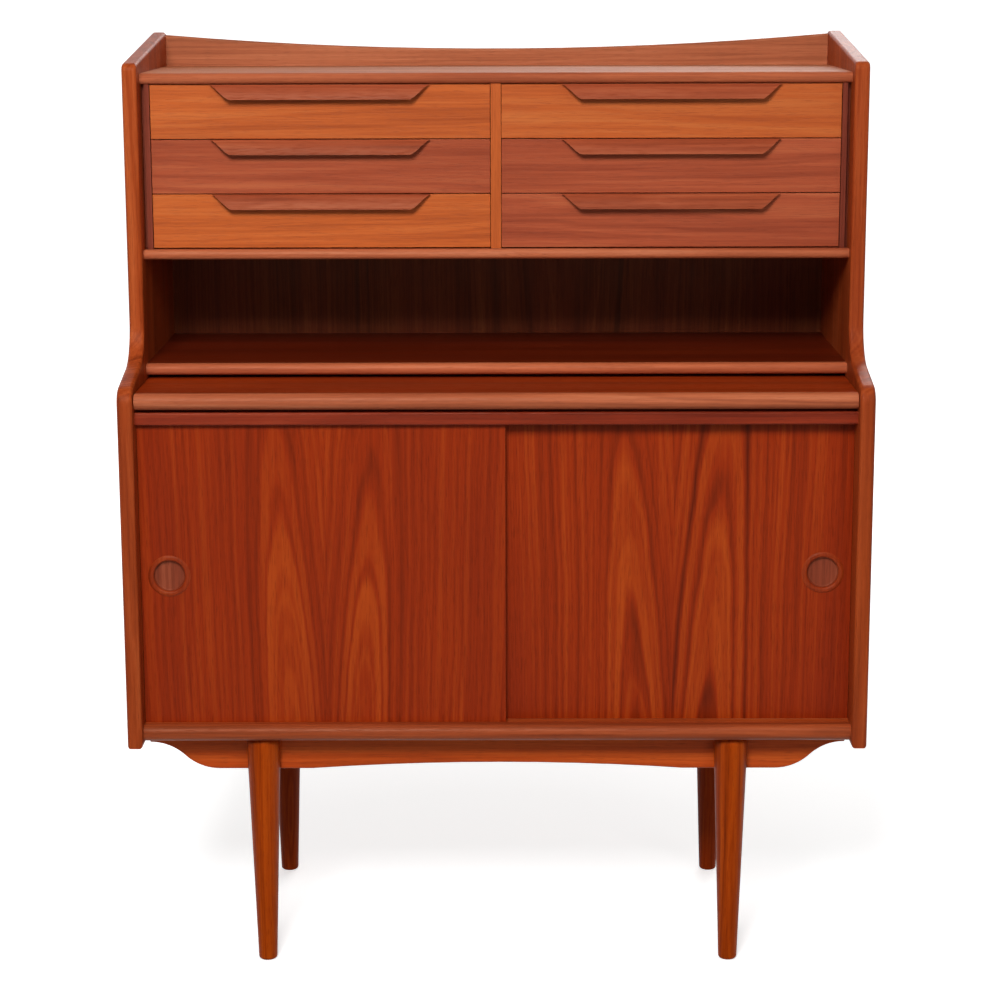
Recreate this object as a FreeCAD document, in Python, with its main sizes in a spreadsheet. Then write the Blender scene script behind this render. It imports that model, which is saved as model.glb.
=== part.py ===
import FreeCAD, Part
import math
import os
import re
import Sketcher

# Secretary desk: a hutch with six drawers and an open niche stands back from a lower cabinet with two
# sliding doors, and a writing leaf slides out between them. Two aprons and four tapered legs carry it.
# Frame: millimetres, +Z up, +Y to the back, +X to the right as seen from the front. The origin is on
# the floor, under the middle of the desk.

DOC = FreeCAD.newDocument("SecretaryDesk")

# Driving dimensions: alias, value and meaning. Lengths are millimetres, slopes are degrees.
SIZES = [
    ("width", 980, "over the side panels"),
    ("depth", 420, "ledge corner to rear edge"),
    ("side_board", 20, "thickness of a side panel"),
    ("side_drop", 6, "side panel below the bottom board"),
    ("edge_round", 4.5, "softened edges of the side panels"),
    ("corner_round", 10, "rounded corners of the side panels"),
    ("hutch_setback", 125, "hutch front behind the ledge corner"),
    ("ledge_slope", 12, "fall of the side's ledge towards the front"),
    ("ledge_round", 23, "convex corner where the ledge meets the front"),
    ("cove_round", 55, "concave curve where the ledge meets the hutch"),
    ("cove_lift", 78, "start of the cove above the leaf's top"),
    ("brow_rise", 13.5, "side's front top corner above the tray floor"),
    ("crest_rise", 48.5, "side's rear top corner above the tray floor"),
    ("nose_round", 0.52, "radius of a rounded board edge over its thickness"),
    ("back_rebate", 8, "rebate for the back panels, both ways"),
    ("back_ply", 6, "thickness of the back panels"),
    ("panel_fit", 0.5, "play of a panel in its rebate"),
    ("bottom_board", 22, "cabinet bottom"),
    ("bottom_recess", 10, "cabinet bottom behind the ledge corner"),
    ("cabinet_opening", 405, "height of the door opening"),
    ("rail_board", 17, "board above the doors"),
    ("rail_recess", 20, "its front edge behind the ledge corner"),
    ("leaf_runner", 4, "height of the strips under the leaf"),
    ("leaf_runner_width", 24, "width of those strips"),
    ("leaf_play", 0.3, "leaf above its strips"),
    ("leaf_board", 21, "thickness of the writing leaf"),
    ("leaf_gap", 5, "leaf below the niche board"),
    ("leaf_side_gap", 1, "leaf beside the side panels"),
    ("leaf_recess", 10, "leaf nose behind the ledge corner"),
    ("leaf_rear_gap", 32, "leaf in front of the back panel"),
    ("leaf_travel", 250, "pull-out of the leaf"),
    ("lipping", 14, "solid front edge of the leaf"),
    ("stop_block", 30, "length and breadth of a stop block"),
    ("stop_play", 0.5, "stops clear of what they pass"),
    ("niche_board", 15, "floor of the niche"),
    ("niche_recess", 8, "its nose behind the hutch front"),
    ("niche_opening", 140, "height of the niche"),
    ("drawer_board", 13, "board below the drawers"),
    ("drawer_board_recess", 15, "its nose behind the hutch front"),
    ("tray_board", 14, "top shelf"),
    ("tray_recess", 24, "its nose behind the hutch front"),
    ("gallery_board", 12, "curved board behind the tray"),
    ("gallery_rise", 43.5, "its ends above the tray floor"),
    ("gallery_dip", 20, "its middle below its ends"),
    ("gallery_round", 3, "softened top edge of the gallery"),
    ("rail_round", 2.5, "softened front edges of the board above the doors"),
    ("lining", 11.3, "upright beside each drawer stack"),
    ("lining_step", 4.8, "recessed part of its front edge, beside the side panel"),
    ("lining_step_depth", 12, "how far that part lies back"),
    ("divider", 13.5, "upright between the drawer stacks"),
    ("upright_recess", 30, "uprights behind the hutch front"),
    ("drawer_recess", 32, "drawer fronts behind the hutch front"),
    ("drawer_rise", 71.5, "height of a drawer front"),
    ("drawer_gap", 1, "gap above and below a drawer front"),
    ("drawer_side_gap", 0.6, "gap beside a drawer front"),
    ("drawer_front", 18, "thickness of a drawer front"),
    ("drawer_edge", 0.8, "softened edges of a drawer front"),
    ("drawer_side", 10, "thickness of a drawer side"),
    ("drawer_side_lift", 6, "drawer sides above the front's lower edge"),
    ("drawer_side_rise", 54, "height of a drawer side"),
    ("drawer_play", 1, "drawer box beside the uprights"),
    ("drawer_rear_gap", 12, "drawer box in front of the back panel"),
    ("drawer_ply", 4, "drawer bottom"),
    ("drawer_ply_lift", 5, "drawer bottom above the sides' lower edge"),
    ("drawer_ply_groove", 4, "depth of the grooves for the bottom"),
    ("runner_rise", 8, "height of a runner strip"),
    ("runner_reach", 5, "runner strip out of its upright"),
    ("runner_lift", 26, "runner strip above the sides' lower edge"),
    ("runner_play", 0.5, "strip in its groove, each way"),
    ("runner_set", 3, "strip behind the drawer front"),
    ("lip_long", 290, "handle along its top edge"),
    ("lip_short", 240, "handle along its lower edge"),
    ("lip_rise", 19.5, "height of a handle"),
    ("lip_top", 5, "reach of its top edge"),
    ("lip_reach", 14, "reach of its lower edge"),
    ("lip_edge", 3.5, "thickness of its lower edge"),
    ("lip_root", 8, "height glued to the drawer front"),
    ("lip_bow", 46, "radius of its rounded face"),
    ("lip_scoop", 13, "radius of the finger hollow"),
    ("lip_soft", 1, "softened edges of a handle"),
    ("door_board", 10, "thickness of a door"),
    ("door_recess", 30, "front door behind the ledge corner"),
    ("door_gap", 4, "between the two doors"),
    ("door_lap", 24, "overlap of the two doors"),
    ("door_end_gap", 0.5, "doors beside the side panels"),
    ("groove_play", 0.75, "door in its groove, each side"),
    ("lower_groove", 5, "depth of the grooves below"),
    ("upper_groove", 10, "depth of the grooves above"),
    ("door_lift", 0.5, "door above the bottom of its groove"),
    ("door_engage", 4.5, "door in its upper groove"),
    ("pull_inset", 38, "pull's middle in from the side panel"),
    ("pull_lift", 201, "pull's middle above the cabinet floor"),
    ("pull_rim", 28, "radius of the pull's rim"),
    ("pull_cup", 23, "radius of the cup let into the door"),
    ("pull_hollow", 20.5, "radius of the finger hollow"),
    ("pull_depth", 7, "cup let into the door"),
    ("pull_floor", 2, "thickness of the cup's floor"),
    ("pull_proud", 1.6, "rim proud of the door"),
    ("partition", 18, "upright in the cabinet"),
    ("partition_gap", 6, "partition behind the rear door"),
    ("shelf_board", 16, "cabinet shelves"),
    ("shelf_end_gap", 1, "shelves beside their uprights"),
    ("shelf_front_gap", 12, "shelves behind the rear door"),
    ("shelf_rear_gap", 6, "shelves in front of the back panel"),
    ("pin_radius", 2.5, "shelf pins and their holes"),
    ("pin_length", 16, "shelf pin, half of it in its hole"),
    ("pin_pitch", 32, "spacing of the pin holes"),
    ("pin_start", 130, "lowest hole above the cabinet floor"),
    ("pin_inset", 45, "holes in from the shelf's ends"),
    ("leg_length", 319, "floor to the bottom board"),
    ("leg_offset", 314, "leg axis from the middle"),
    ("leg_inset", 45, "leg axis behind the ledge corner"),
    ("leg_top", 23, "radius of a leg at the top"),
    ("leg_foot", 12.5, "radius of a leg at the floor"),
    ("leg_shoulder", 9, "rounded top edge of a leg"),
    ("foot_round", 4, "rounded foot"),
    ("leg_lap", 10, "apron face behind the leg axis"),
    ("apron_board", 20, "thickness of an apron"),
    ("apron_half", 468, "half length of an apron"),
    ("apron_rise", 52, "height of an apron"),
    ("apron_end", 14.5, "height left at an apron's end"),
    ("apron_ogee", 93, "length of the curved end"),
    ("apron_arch", 250, "half span of the arched middle"),
    ("arch_rise", 8.5, "rise of the arched middle"),
    ("apron_soft", 2, "softened lower edge of an apron"),
    ("stretcher_rise", 44, "height of a stretcher"),
    ("stretcher_offset", 280, "stretcher from the middle"),
    ("screw_shank", 2, "radius of a screw"),
    ("screw_head", 4, "radius of a screw head"),
    ("back_screw", 25, "length of the back's screws"),
    ("back_screw_inset", 30, "outer screws in from the inner face of a side"),
    ("leg_screw", 40, "length of a leg's screws"),
    ("leg_screw_top", 14, "upper leg screw below the bottom board"),
    ("leg_screw_pitch", 22, "spacing of a leg's screws"),
    ("base_screw_bite", 12, "base screws into the bottom board"),
    ("base_screw_inset", 40, "base screws in from the aprons"),
]
ALIASES = {alias for alias, _, _ in SIZES}

sheet = DOC.addObject("Spreadsheet::Sheet", "Sizes")
for row, (alias, size, meaning) in enumerate(SIZES, start=1):
    sheet.set(f"A{row}", str(size))
    sheet.setAlias(f"A{row}", alias)
    sheet.set(f"B{row}", meaning)
DOC.recompute()

# Levels, stacked from the floor up
BOARD_UNDER = "leg_length"
CABINET_FLOOR = f"({BOARD_UNDER} + bottom_board)"
DOOR_HEAD = f"({CABINET_FLOOR} + cabinet_opening)"
LEAF_BED = f"({DOOR_HEAD} + rail_board)"
LEAF_UNDER = f"({LEAF_BED} + leaf_runner + leaf_play)"
LEAF_TOP = f"({LEAF_UNDER} + leaf_board)"
NICHE_UNDER = f"({LEAF_TOP} + leaf_gap)"
NICHE_FLOOR = f"({NICHE_UNDER} + niche_board)"
STACK_UNDER = f"({NICHE_FLOOR} + niche_opening)"
STACK_FLOOR = f"({STACK_UNDER} + drawer_board)"
TRAY_UNDER = f"({STACK_FLOOR} + 3 * drawer_rise + 4 * drawer_gap)"
TRAY_FLOOR = f"({TRAY_UNDER} + tray_board)"

# Planes across the width and from front to back
INNER = "(width / 2 - side_board)"
FRONT = "(-depth / 2)"
REAR = "(depth / 2)"
HUTCH_FRONT = f"({FRONT} + hutch_setback)"
BOARD_REAR = f"({REAR} - back_rebate)"
DRAWER_FACE = f"({HUTCH_FRONT} + drawer_recess)"
DRAWER_BACK = f"({DRAWER_FACE} + drawer_front)"
DRAWER_REAR = f"({BOARD_REAR} - drawer_rear_gap)"
FRONT_DOOR = f"({FRONT} + door_recess)"
REAR_DOOR = f"({FRONT_DOOR} + door_board + door_gap)"
DOOR_CLEAR = f"({REAR_DOOR} + door_board)"
SHELF_FRONT = f"({DOOR_CLEAR} + shelf_front_gap)"
SHELF_REAR = f"({BOARD_REAR} - shelf_rear_gap)"
LEG_FRONT = f"({FRONT} + leg_inset)"
APRON_FACE = f"({LEG_FRONT} + leg_lap)"
APRON_INNER = f"({APRON_FACE} + apron_board)"
APRON_UNDER = "(leg_length - apron_rise)"

# Shelf pins: two rows of holes, and the hole that holds the shelf, counted from 0
PIN_ROWS = [f"({SHELF_FRONT} + pin_inset)", f"({SHELF_REAR} - pin_inset)"]
PIN_COUNT = 5
PIN_CHOSEN = 2

# Facing a wall: unit turns that point a screw made along +Z to the front or to the back
TO_FRONT = FreeCAD.Rotation(FreeCAD.Vector(1, 0, 0), 90)
TO_BACK = FreeCAD.Rotation(FreeCAD.Vector(1, 0, 0), -90)
UPWARD = FreeCAD.Rotation()

NODES = []


def cells(text):
    """Expression text with each alias turned into a reference to its cell."""
    return re.sub(r"[a-z_]+", lambda word: f"Sizes.{word[0]}" if word[0] in ALIASES else word[0], str(text))


def value(text):
    """The number that an expression has now."""
    return float(sheet.evalExpression(cells(text)))


def bind(item, **sizes):
    """Bind properties of an object to expressions."""
    for name, text in sizes.items():
        item.setExpression(name, cells(text))


def place(item, across, along, up):
    """Bind an object's position to expressions."""
    for axis, text in zip("xyz", (across, along, up)):
        item.setExpression(f"Placement.Base.{axis}", cells(text))


def node(item, label):
    """Label an object as a finished sub-part."""
    item.Label = label
    NODES.append(item)
    return item


def block(name, corner, size):
    """A plain rectangular board: its low corner and its sizes along X, Y and Z."""
    item = DOC.addObject("Part::Box", name)
    bind(item, Length=size[0], Width=size[1], Height=size[2])
    place(item, *corner)
    return item


def group(name, items):
    """Separate solids that make one sub-part."""
    compound = DOC.addObject("Part::Compound", name)
    compound.Links = items
    return compound


def cut(name, base, tool):
    """A sub-part with the space of another taken out of it."""
    result = DOC.addObject("Part::Cut", name)
    result.Base = base
    result.Tool = tool
    return result


def new_body(name, corner=("0", "0", "0")):
    """A PartDesign body at a bound position."""
    body = DOC.addObject("PartDesign::Body", name)
    place(body, *corner)
    return body


def sketch_on(body, role, name):
    """A sketch on one of the body's own origin planes."""
    sketch = body.newObject("Sketcher::SketchObject", f"{body.Name}_{name}")
    plane = next(item for item in body.Origin.OriginFeatures if item.Role == role)
    sketch.AttachmentSupport = [(plane, "")]
    sketch.MapMode = "FlatFace"
    return sketch


def bound_constraint(sketch, name, kind, *terms):
    """Add a dimension whose last term is an expression, and bind it."""
    index = sketch.addConstraint(Sketcher.Constraint(kind, *terms[:-1], value(terms[-1])))
    sketch.renameConstraint(index, name)
    sketch.setExpression(f"Constraints.{name}", cells(terms[-1]))


def bowed_edge(start, end, radius, side):
    """An arc between two points that bulges to the left (side 1) or right (side -1) of the way there.

    It always runs anticlockwise, so on the left it runs from end to start.
    """
    chord = end - start
    half = chord.Length / 2
    sagitta = radius - math.sqrt(max(radius**2 - half**2, 0))
    left = FreeCAD.Vector(-chord.y, chord.x, 0).normalize()
    crest = (start + end) / 2 + left * sagitta * side
    return Part.Arc(end, crest, start) if side > 0 else Part.Arc(start, crest, end)


def outline(sketch, corners, tag=""):
    """Draw a closed outline with bound corners.

    A corner is (across, up), or (across, up, radius, side) where the edge that leaves it is an arc.
    """
    points = [FreeCAD.Vector(value(corner[0]), value(corner[1]), 0) for corner in corners]
    edges = []
    for index, corner in enumerate(corners):
        start, end = points[index], points[(index + 1) % len(points)]
        curve = bowed_edge(start, end, value(corner[2]), corner[3]) if len(corner) > 2 \
            else Part.LineSegment(start, end)
        number = sketch.addGeometry(curve, False)
        backward = len(corner) > 2 and corner[3] > 0
        edges.append((number, 2, 1) if backward else (number, 1, 2))
    for index, corner in enumerate(corners):
        number, first, _ = edges[index]
        before, _, last = edges[index - 1]
        sketch.addConstraint(Sketcher.Constraint("Coincident", before, last, number, first))
        bound_constraint(sketch, f"across{tag}{index}", "DistanceX", -1, 1, number, first, corner[0])
        bound_constraint(sketch, f"up{tag}{index}", "DistanceY", -1, 1, number, first, corner[1])
        if len(corner) > 2:
            bound_constraint(sketch, f"bow{tag}{index}", "Radius", number, corner[2])


def pad(body, sketch, length, symmetric=False):
    """Pad a sketch by a bound length."""
    feature = body.newObject("PartDesign::Pad", f"{body.Name}_Pad")
    feature.Profile = sketch
    bind(feature, Length=length)
    feature.SideType = "Symmetric" if symmetric else "One side"
    return feature


def extruded(name, role, corners, length, corner=("0", "0", "0"), symmetric=False):
    """A body padded from one outline."""
    body = new_body(name, corner)
    sketch = sketch_on(body, role, "Outline")
    outline(sketch, corners)
    pad(body, sketch, length, symmetric)
    return body


def slot(body, corner, size):
    """Take a rectangular groove, rebate or notch out of a body."""
    feature = body.newObject("PartDesign::SubtractiveBox", f"{body.Name}_Slot")
    bind(feature, Length=size[0], Width=size[1], Height=size[2])
    place(feature, *corner)
    return feature


def soften(body, radius, wanted):
    """Fillet the edges of a body's tip that the test picks."""
    DOC.recompute()
    tip = body.Tip
    names = [f"Edge{number}" for number, edge in enumerate(tip.Shape.Edges, start=1)
             if wanted(edge.BoundBox)]
    feature = body.newObject("PartDesign::Fillet", f"{body.Name}_Round")
    feature.Base = (tip, names)
    bind(feature, Radius=radius)
    return feature


def close(one, other):
    """Whether two lengths are the same, within rounding."""
    return abs(one - other) < 0.01


def nosed_board(name, front, bottom, length, thickness, half_width):
    """A board across the desk with its front edge rounded; front, bottom and sizes are expressions."""
    radius = f"(nose_round * {thickness})"
    nose = f"({radius} - sqrt({radius}^2 - ({thickness} / 2)^2))"
    corners = [(nose, "0"), (length, "0"), (length, thickness), (nose, thickness, radius, -1)]
    return extruded(name, "YZ_Plane", corners, f"2 * {half_width}", ("0", front, bottom), symmetric=True)


def side_panel(name, edge, inner_face, mirrored):
    """A side panel; edge is its low X, inner_face the local X of its inner face."""
    ledge = f"({LEAF_TOP} + cove_lift)"
    cove_y = f"({HUTCH_FRONT} - cove_round * (1 - sin(ledge_slope)))"
    cove_z = f"({ledge} - cove_round * cos(ledge_slope))"
    round_y = f"({FRONT} + ledge_round * (1 - sin(ledge_slope)))"
    round_z = f"({cove_z} - ({cove_y} - {round_y}) * tan(ledge_slope))"
    foot = "(leg_length - side_drop)"
    corners = [
        (FRONT, foot),
        (REAR, foot),
        (REAR, f"{TRAY_FLOOR} + crest_rise"),
        (HUTCH_FRONT, f"{TRAY_FLOOR} + brow_rise"),
        (HUTCH_FRONT, ledge, "cove_round", 1),
        (cove_y, cove_z),
        (round_y, round_z, "ledge_round", -1),
        (FRONT, f"{round_z} - ledge_round * cos(ledge_slope)"),
    ]
    body = extruded(name, "YZ_Plane", corners, "side_board", (edge, "0", "0"))
    rear, foot_z, brow = value(REAR), value(foot), value(f"{TRAY_FLOOR} + brow_rise")
    soften(body, "corner_round", lambda box: box.XLength > 1 and box.ZMin > brow - 1)
    soften(body, "edge_round", lambda box: box.XLength < 0.01 and not close(box.YMin, rear))
    rebate_x = "0" if mirrored else "side_board - back_rebate"
    rebate = ("back_rebate", "back_rebate", f"{TRAY_FLOOR} - {BOARD_UNDER}")
    slot(body, (rebate_x, BOARD_REAR, BOARD_UNDER), rebate)
    pin_holes(body, inner_face, mirrored, "pin_length / 2")
    return node(body, name)


def pin_holes(body, face, from_low_side, depth):
    """Two rows of shelf-pin holes, bored in from the plane X = face."""
    sketch = sketch_on(body, "YZ_Plane", "Pins")
    sketch.setExpression("AttachmentOffset.Base.z", cells(face))
    level = f"({CABINET_FLOOR} + pin_start)"
    for index, row in enumerate(PIN_ROWS):
        centre = FreeCAD.Vector(value(row), value(level), 0)
        circle = sketch.addGeometry(Part.Circle(centre, FreeCAD.Vector(0, 0, 1), value("pin_radius")), False)
        bound_constraint(sketch, f"across{index}", "DistanceX", -1, 1, circle, 3, row)
        bound_constraint(sketch, f"up{index}", "DistanceY", -1, 1, circle, 3, level)
        bound_constraint(sketch, f"bore{index}", "Radius", circle, "pin_radius")
    pocket = body.newObject("PartDesign::Pocket", f"{body.Name}_Pins")
    pocket.Profile = sketch
    pocket.Reversed = from_low_side
    bind(pocket, Length=depth)
    DOC.recompute()
    pattern = body.newObject("PartDesign::LinearPattern", f"{body.Name}_PinRow")
    pattern.Originals = [pocket]
    pattern.Direction = (next(item for item in body.Origin.OriginFeatures if item.Role == "Z_Axis"), [""])
    bind(pattern, Length=f"pin_pitch * {PIN_COUNT - 1}")
    pattern.Occurrences = PIN_COUNT
    body.Tip = pattern


def screw_row(name, length, start, turn, span="0", count=1):
    """Countersunk screws in a row along X; each is made along +Z and turned to face its board."""
    body = new_body(name)
    body.Placement = FreeCAD.Placement(FreeCAD.Vector(), turn)
    place(body, *start)
    sketch = sketch_on(body, "XZ_Plane", "Profile")
    sink = "(screw_head - screw_shank)"
    outline(sketch, [("0", "0"), ("screw_head", "0"), ("screw_shank", sink),
                     ("screw_shank", f"{length} - {sink}"), ("0", length)])
    feature = body.newObject("PartDesign::Revolution", f"{name}_Turned")
    feature.Profile = sketch
    feature.ReferenceAxis = (sketch, ["V_Axis"])
    feature.Angle = 360
    if count > 1:
        DOC.recompute()
        pattern = body.newObject("PartDesign::LinearPattern", f"{name}_Row")
        pattern.Originals = [feature]
        pattern.Direction = (next(item for item in body.Origin.OriginFeatures if item.Role == "X_Axis"), [""])
        bind(pattern, Length=span)
        pattern.Occurrences = count
        body.Tip = pattern
    return body


# Screws first, because the boards that they hold are drilled for them
def back_screws():
    """Five rows of screws through the back panels into the boards' rear edges."""
    middles = [f"{TRAY_UNDER} + tray_board / 2", f"{STACK_UNDER} + drawer_board / 2",
               f"{NICHE_UNDER} + niche_board / 2", f"{DOOR_HEAD} + rail_board / 2",
               f"{BOARD_UNDER} + bottom_board / 2"]
    reach = f"({INNER} - back_screw_inset)"
    rows = [screw_row(f"BackRow{index}", "back_screw", (f"-{reach}", f"{BOARD_REAR} + back_ply", middle),
                      TO_FRONT, f"2 * {reach}", 5) for index, middle in enumerate(middles)]
    return node(group("BackScrews", rows), "back_screws")


def frame_screws():
    """Two screws into each leg through its apron, and two up through each stretcher."""
    rows = []
    for name, along, turn in (("Front", APRON_INNER, TO_FRONT), ("Rear", f"-{APRON_INNER}", TO_BACK)):
        for index, drop in enumerate(("leg_screw_top", "leg_screw_top + leg_screw_pitch")):
            start = ("-leg_offset", along, f"leg_length - ({drop})")
            rows.append(screw_row(f"Leg{name}{index}", "leg_screw", start, turn, "2 * leg_offset", 2))
    inset = f"({APRON_INNER} + base_screw_inset)"
    for index, along in enumerate((inset, f"-{inset}")):
        start = ("-stretcher_offset", along, "leg_length - stretcher_rise")
        rows.append(screw_row(f"BaseRow{index}", "stretcher_rise + base_screw_bite", start, UPWARD,
                              "2 * stretcher_offset", 2))
    return node(group("FrameScrews", rows), "frame_screws")


def carcass(back_fixings, frame_fixings):
    """The fixed boards between the side panels."""
    boards = {
        "top_shelf": (f"{HUTCH_FRONT} + tray_recess", TRAY_UNDER, "tray_board"),
        "drawer_shelf": (f"{HUTCH_FRONT} + drawer_board_recess", STACK_UNDER, "drawer_board"),
        "niche_shelf": (f"{HUTCH_FRONT} + niche_recess", NICHE_UNDER, "niche_board"),
    }
    for label, (front, bottom, thickness) in boards.items():
        board = nosed_board(f"Blank_{label}", front, bottom, f"{BOARD_REAR} - ({front})", thickness, INNER)
        node(cut(f"Drilled_{label}", board, back_fixings), label)

    groove = "(door_board + 2 * groove_play)"
    bottom = nosed_board("CabinetBottomBlank", f"{FRONT} + bottom_recess", BOARD_UNDER,
                         f"{BOARD_REAR} - {FRONT} - bottom_recess", "bottom_board", INNER)
    top = extruded("CabinetTopBlank", "YZ_Plane",
                   [("0", "0"), (f"{BOARD_REAR} - {FRONT} - rail_recess", "0"),
                    (f"{BOARD_REAR} - {FRONT} - rail_recess", "rail_board"), ("0", "rail_board")],
                   f"2 * {INNER}", ("0", f"{FRONT} + rail_recess", DOOR_HEAD), symmetric=True)
    for door in (FRONT_DOOR, REAR_DOOR):
        along = f"{door} - groove_play - {FRONT}"
        slot(bottom, (f"-{INNER}", f"{along} - bottom_recess", "bottom_board - lower_groove"),
             (f"2 * {INNER}", groove, "lower_groove"))
        slot(top, (f"-{INNER}", f"{along} - rail_recess", "0"), (f"2 * {INNER}", groove, "upper_groove"))
    soften(top, "rail_round", lambda box: close(box.YMin, 0) and close(box.YMax, 0) and box.XLength > 1)
    node(cut("CabinetTop", top, back_fixings), "cabinet_top")
    bored = cut("CabinetBottomBored", bottom, frame_fixings)
    node(cut("CabinetBottom", bored, back_fixings), "cabinet_bottom")


def uprights():
    """Linings and divider of the drawer stacks, and the runner strips on them."""
    front = f"({HUTCH_FRONT} + upright_recess)"
    length = f"({BOARD_REAR} - {front})"
    height = f"({TRAY_UNDER} - {STACK_FLOOR})"
    divider = block("Divider", ("-divider / 2", front, STACK_FLOOR), ("divider", length, height))
    node(divider, "drawer_divider")
    for label, edge, step_edge in (("bay_lining_left", f"-{INNER}", "0"),
                                   ("bay_lining_right", f"{INNER} - lining", "lining - lining_step")):
        body = new_body(f"Lining_{label}", (edge, front, STACK_FLOOR))
        blank = body.newObject("PartDesign::AdditiveBox", f"Blank_{label}")
        bind(blank, Length="lining", Width=length, Height=height)
        slot(body, (step_edge, "0", "0"), ("lining_step", "lining_step_depth", height))
        node(body, label)
    strips = []
    faces = {"A": f"-({INNER} - lining)", "B": "-divider / 2 - runner_reach", "C": "divider / 2",
             "D": f"{INNER} - lining - runner_reach"}
    for tier in range(3):
        for name, face in faces.items():
            level = f"{drawer_level(tier)} + drawer_side_lift + runner_lift"
            corner = (face, f"{DRAWER_BACK} + runner_set", level)
            size = ("runner_reach", f"{BOARD_REAR} - {DRAWER_BACK} - runner_set", "runner_rise")
            strips.append(block(f"Runner{name}{tier}", corner, size))
    node(group("Runners", strips), "drawer_runners")


def back_panels(fixings):
    """Two panels in the rebates of the side panels."""
    half = f"({INNER} + back_rebate - panel_fit)"
    for label, low, high in (("upper_back", NICHE_UNDER, TRAY_FLOOR),
                             ("lower_back", BOARD_UNDER, f"({NICHE_UNDER} - panel_fit)")):
        size = (f"2 * {half}", "back_ply", f"{high} - {low}")
        panel = block(f"Blank_{label}", (f"-{half}", BOARD_REAR, low), size)
        node(cut(f"Drilled_{label}", panel, fixings), label)


def gallery():
    """The board behind the tray, its top edge dipping in one long curve."""
    radius = f"(({INNER}^2 + gallery_dip^2) / (2 * gallery_dip))"
    corners = [(f"-{INNER}", "0"), (INNER, "0"), (INNER, "gallery_rise", radius, 1),
               (f"-{INNER}", "gallery_rise")]
    corner = ("0", f"{BOARD_REAR} + back_ply", TRAY_FLOOR)
    body = extruded("Gallery", "XZ_Plane", corners, "gallery_board", corner)
    soften(body, "gallery_round", lambda box: box.ZMin > 1 and box.XLength > 1)
    node(body, "gallery_board")


def leaf():
    """The writing leaf with its solid front edge, its guides and its stops."""
    half = f"({INNER} - leaf_side_gap)"
    nose = f"({FRONT} + leaf_recess)"
    rear = f"({BOARD_REAR} - leaf_rear_gap)"
    front = f"({nose} + lipping)"
    node(block("Leaf", (f"-{half}", front, LEAF_UNDER), (f"2 * {half}", f"{rear} - {front}", "leaf_board")),
         "writing_leaf")
    node(nosed_board("Lipping", nose, LEAF_UNDER, "lipping", "leaf_board", half), "leaf_lipping")
    strip_front = f"({FRONT} + rail_recess + stop_block / 2)"
    strip_length = f"({BOARD_REAR} - {strip_front})"
    inner = f"({INNER} - leaf_runner_width)"
    strip = ("leaf_runner_width", strip_length, "leaf_runner")
    cleat = (f"2 * {inner}", "stop_block / 2", "leaf_runner - stop_play")
    guides = [
        block("GuideLeft", (f"-{INNER}", strip_front, LEAF_BED), strip),
        block("GuideRight", (inner, strip_front, LEAF_BED), strip),
        block("Cleat", (f"-{inner}", strip_front, LEAF_BED), cleat),
    ]
    node(group("Guides", guides), "leaf_guides")
    stop_front = f"({strip_front} + stop_block / 2 + leaf_travel + stop_play)"
    drop = f"({LEAF_UNDER} - {LEAF_BED} - stop_play)"
    stop_low = f"{LEAF_UNDER} - {drop}"
    stops = [block(f"Stop{name}", (f"{sign} {inner} / 2 - stop_block / 2", stop_front, stop_low),
                   ("stop_block", "stop_block", drop)) for name, sign in (("Left", "-"), ("Right", ""))]
    node(group("Stops", stops), "leaf_stops")


def drawer_level(tier):
    """Lower edge of a drawer front; tier 0 is the lowest."""
    return f"({STACK_FLOOR} + drawer_gap + {tier} * (drawer_rise + drawer_gap))"


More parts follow.
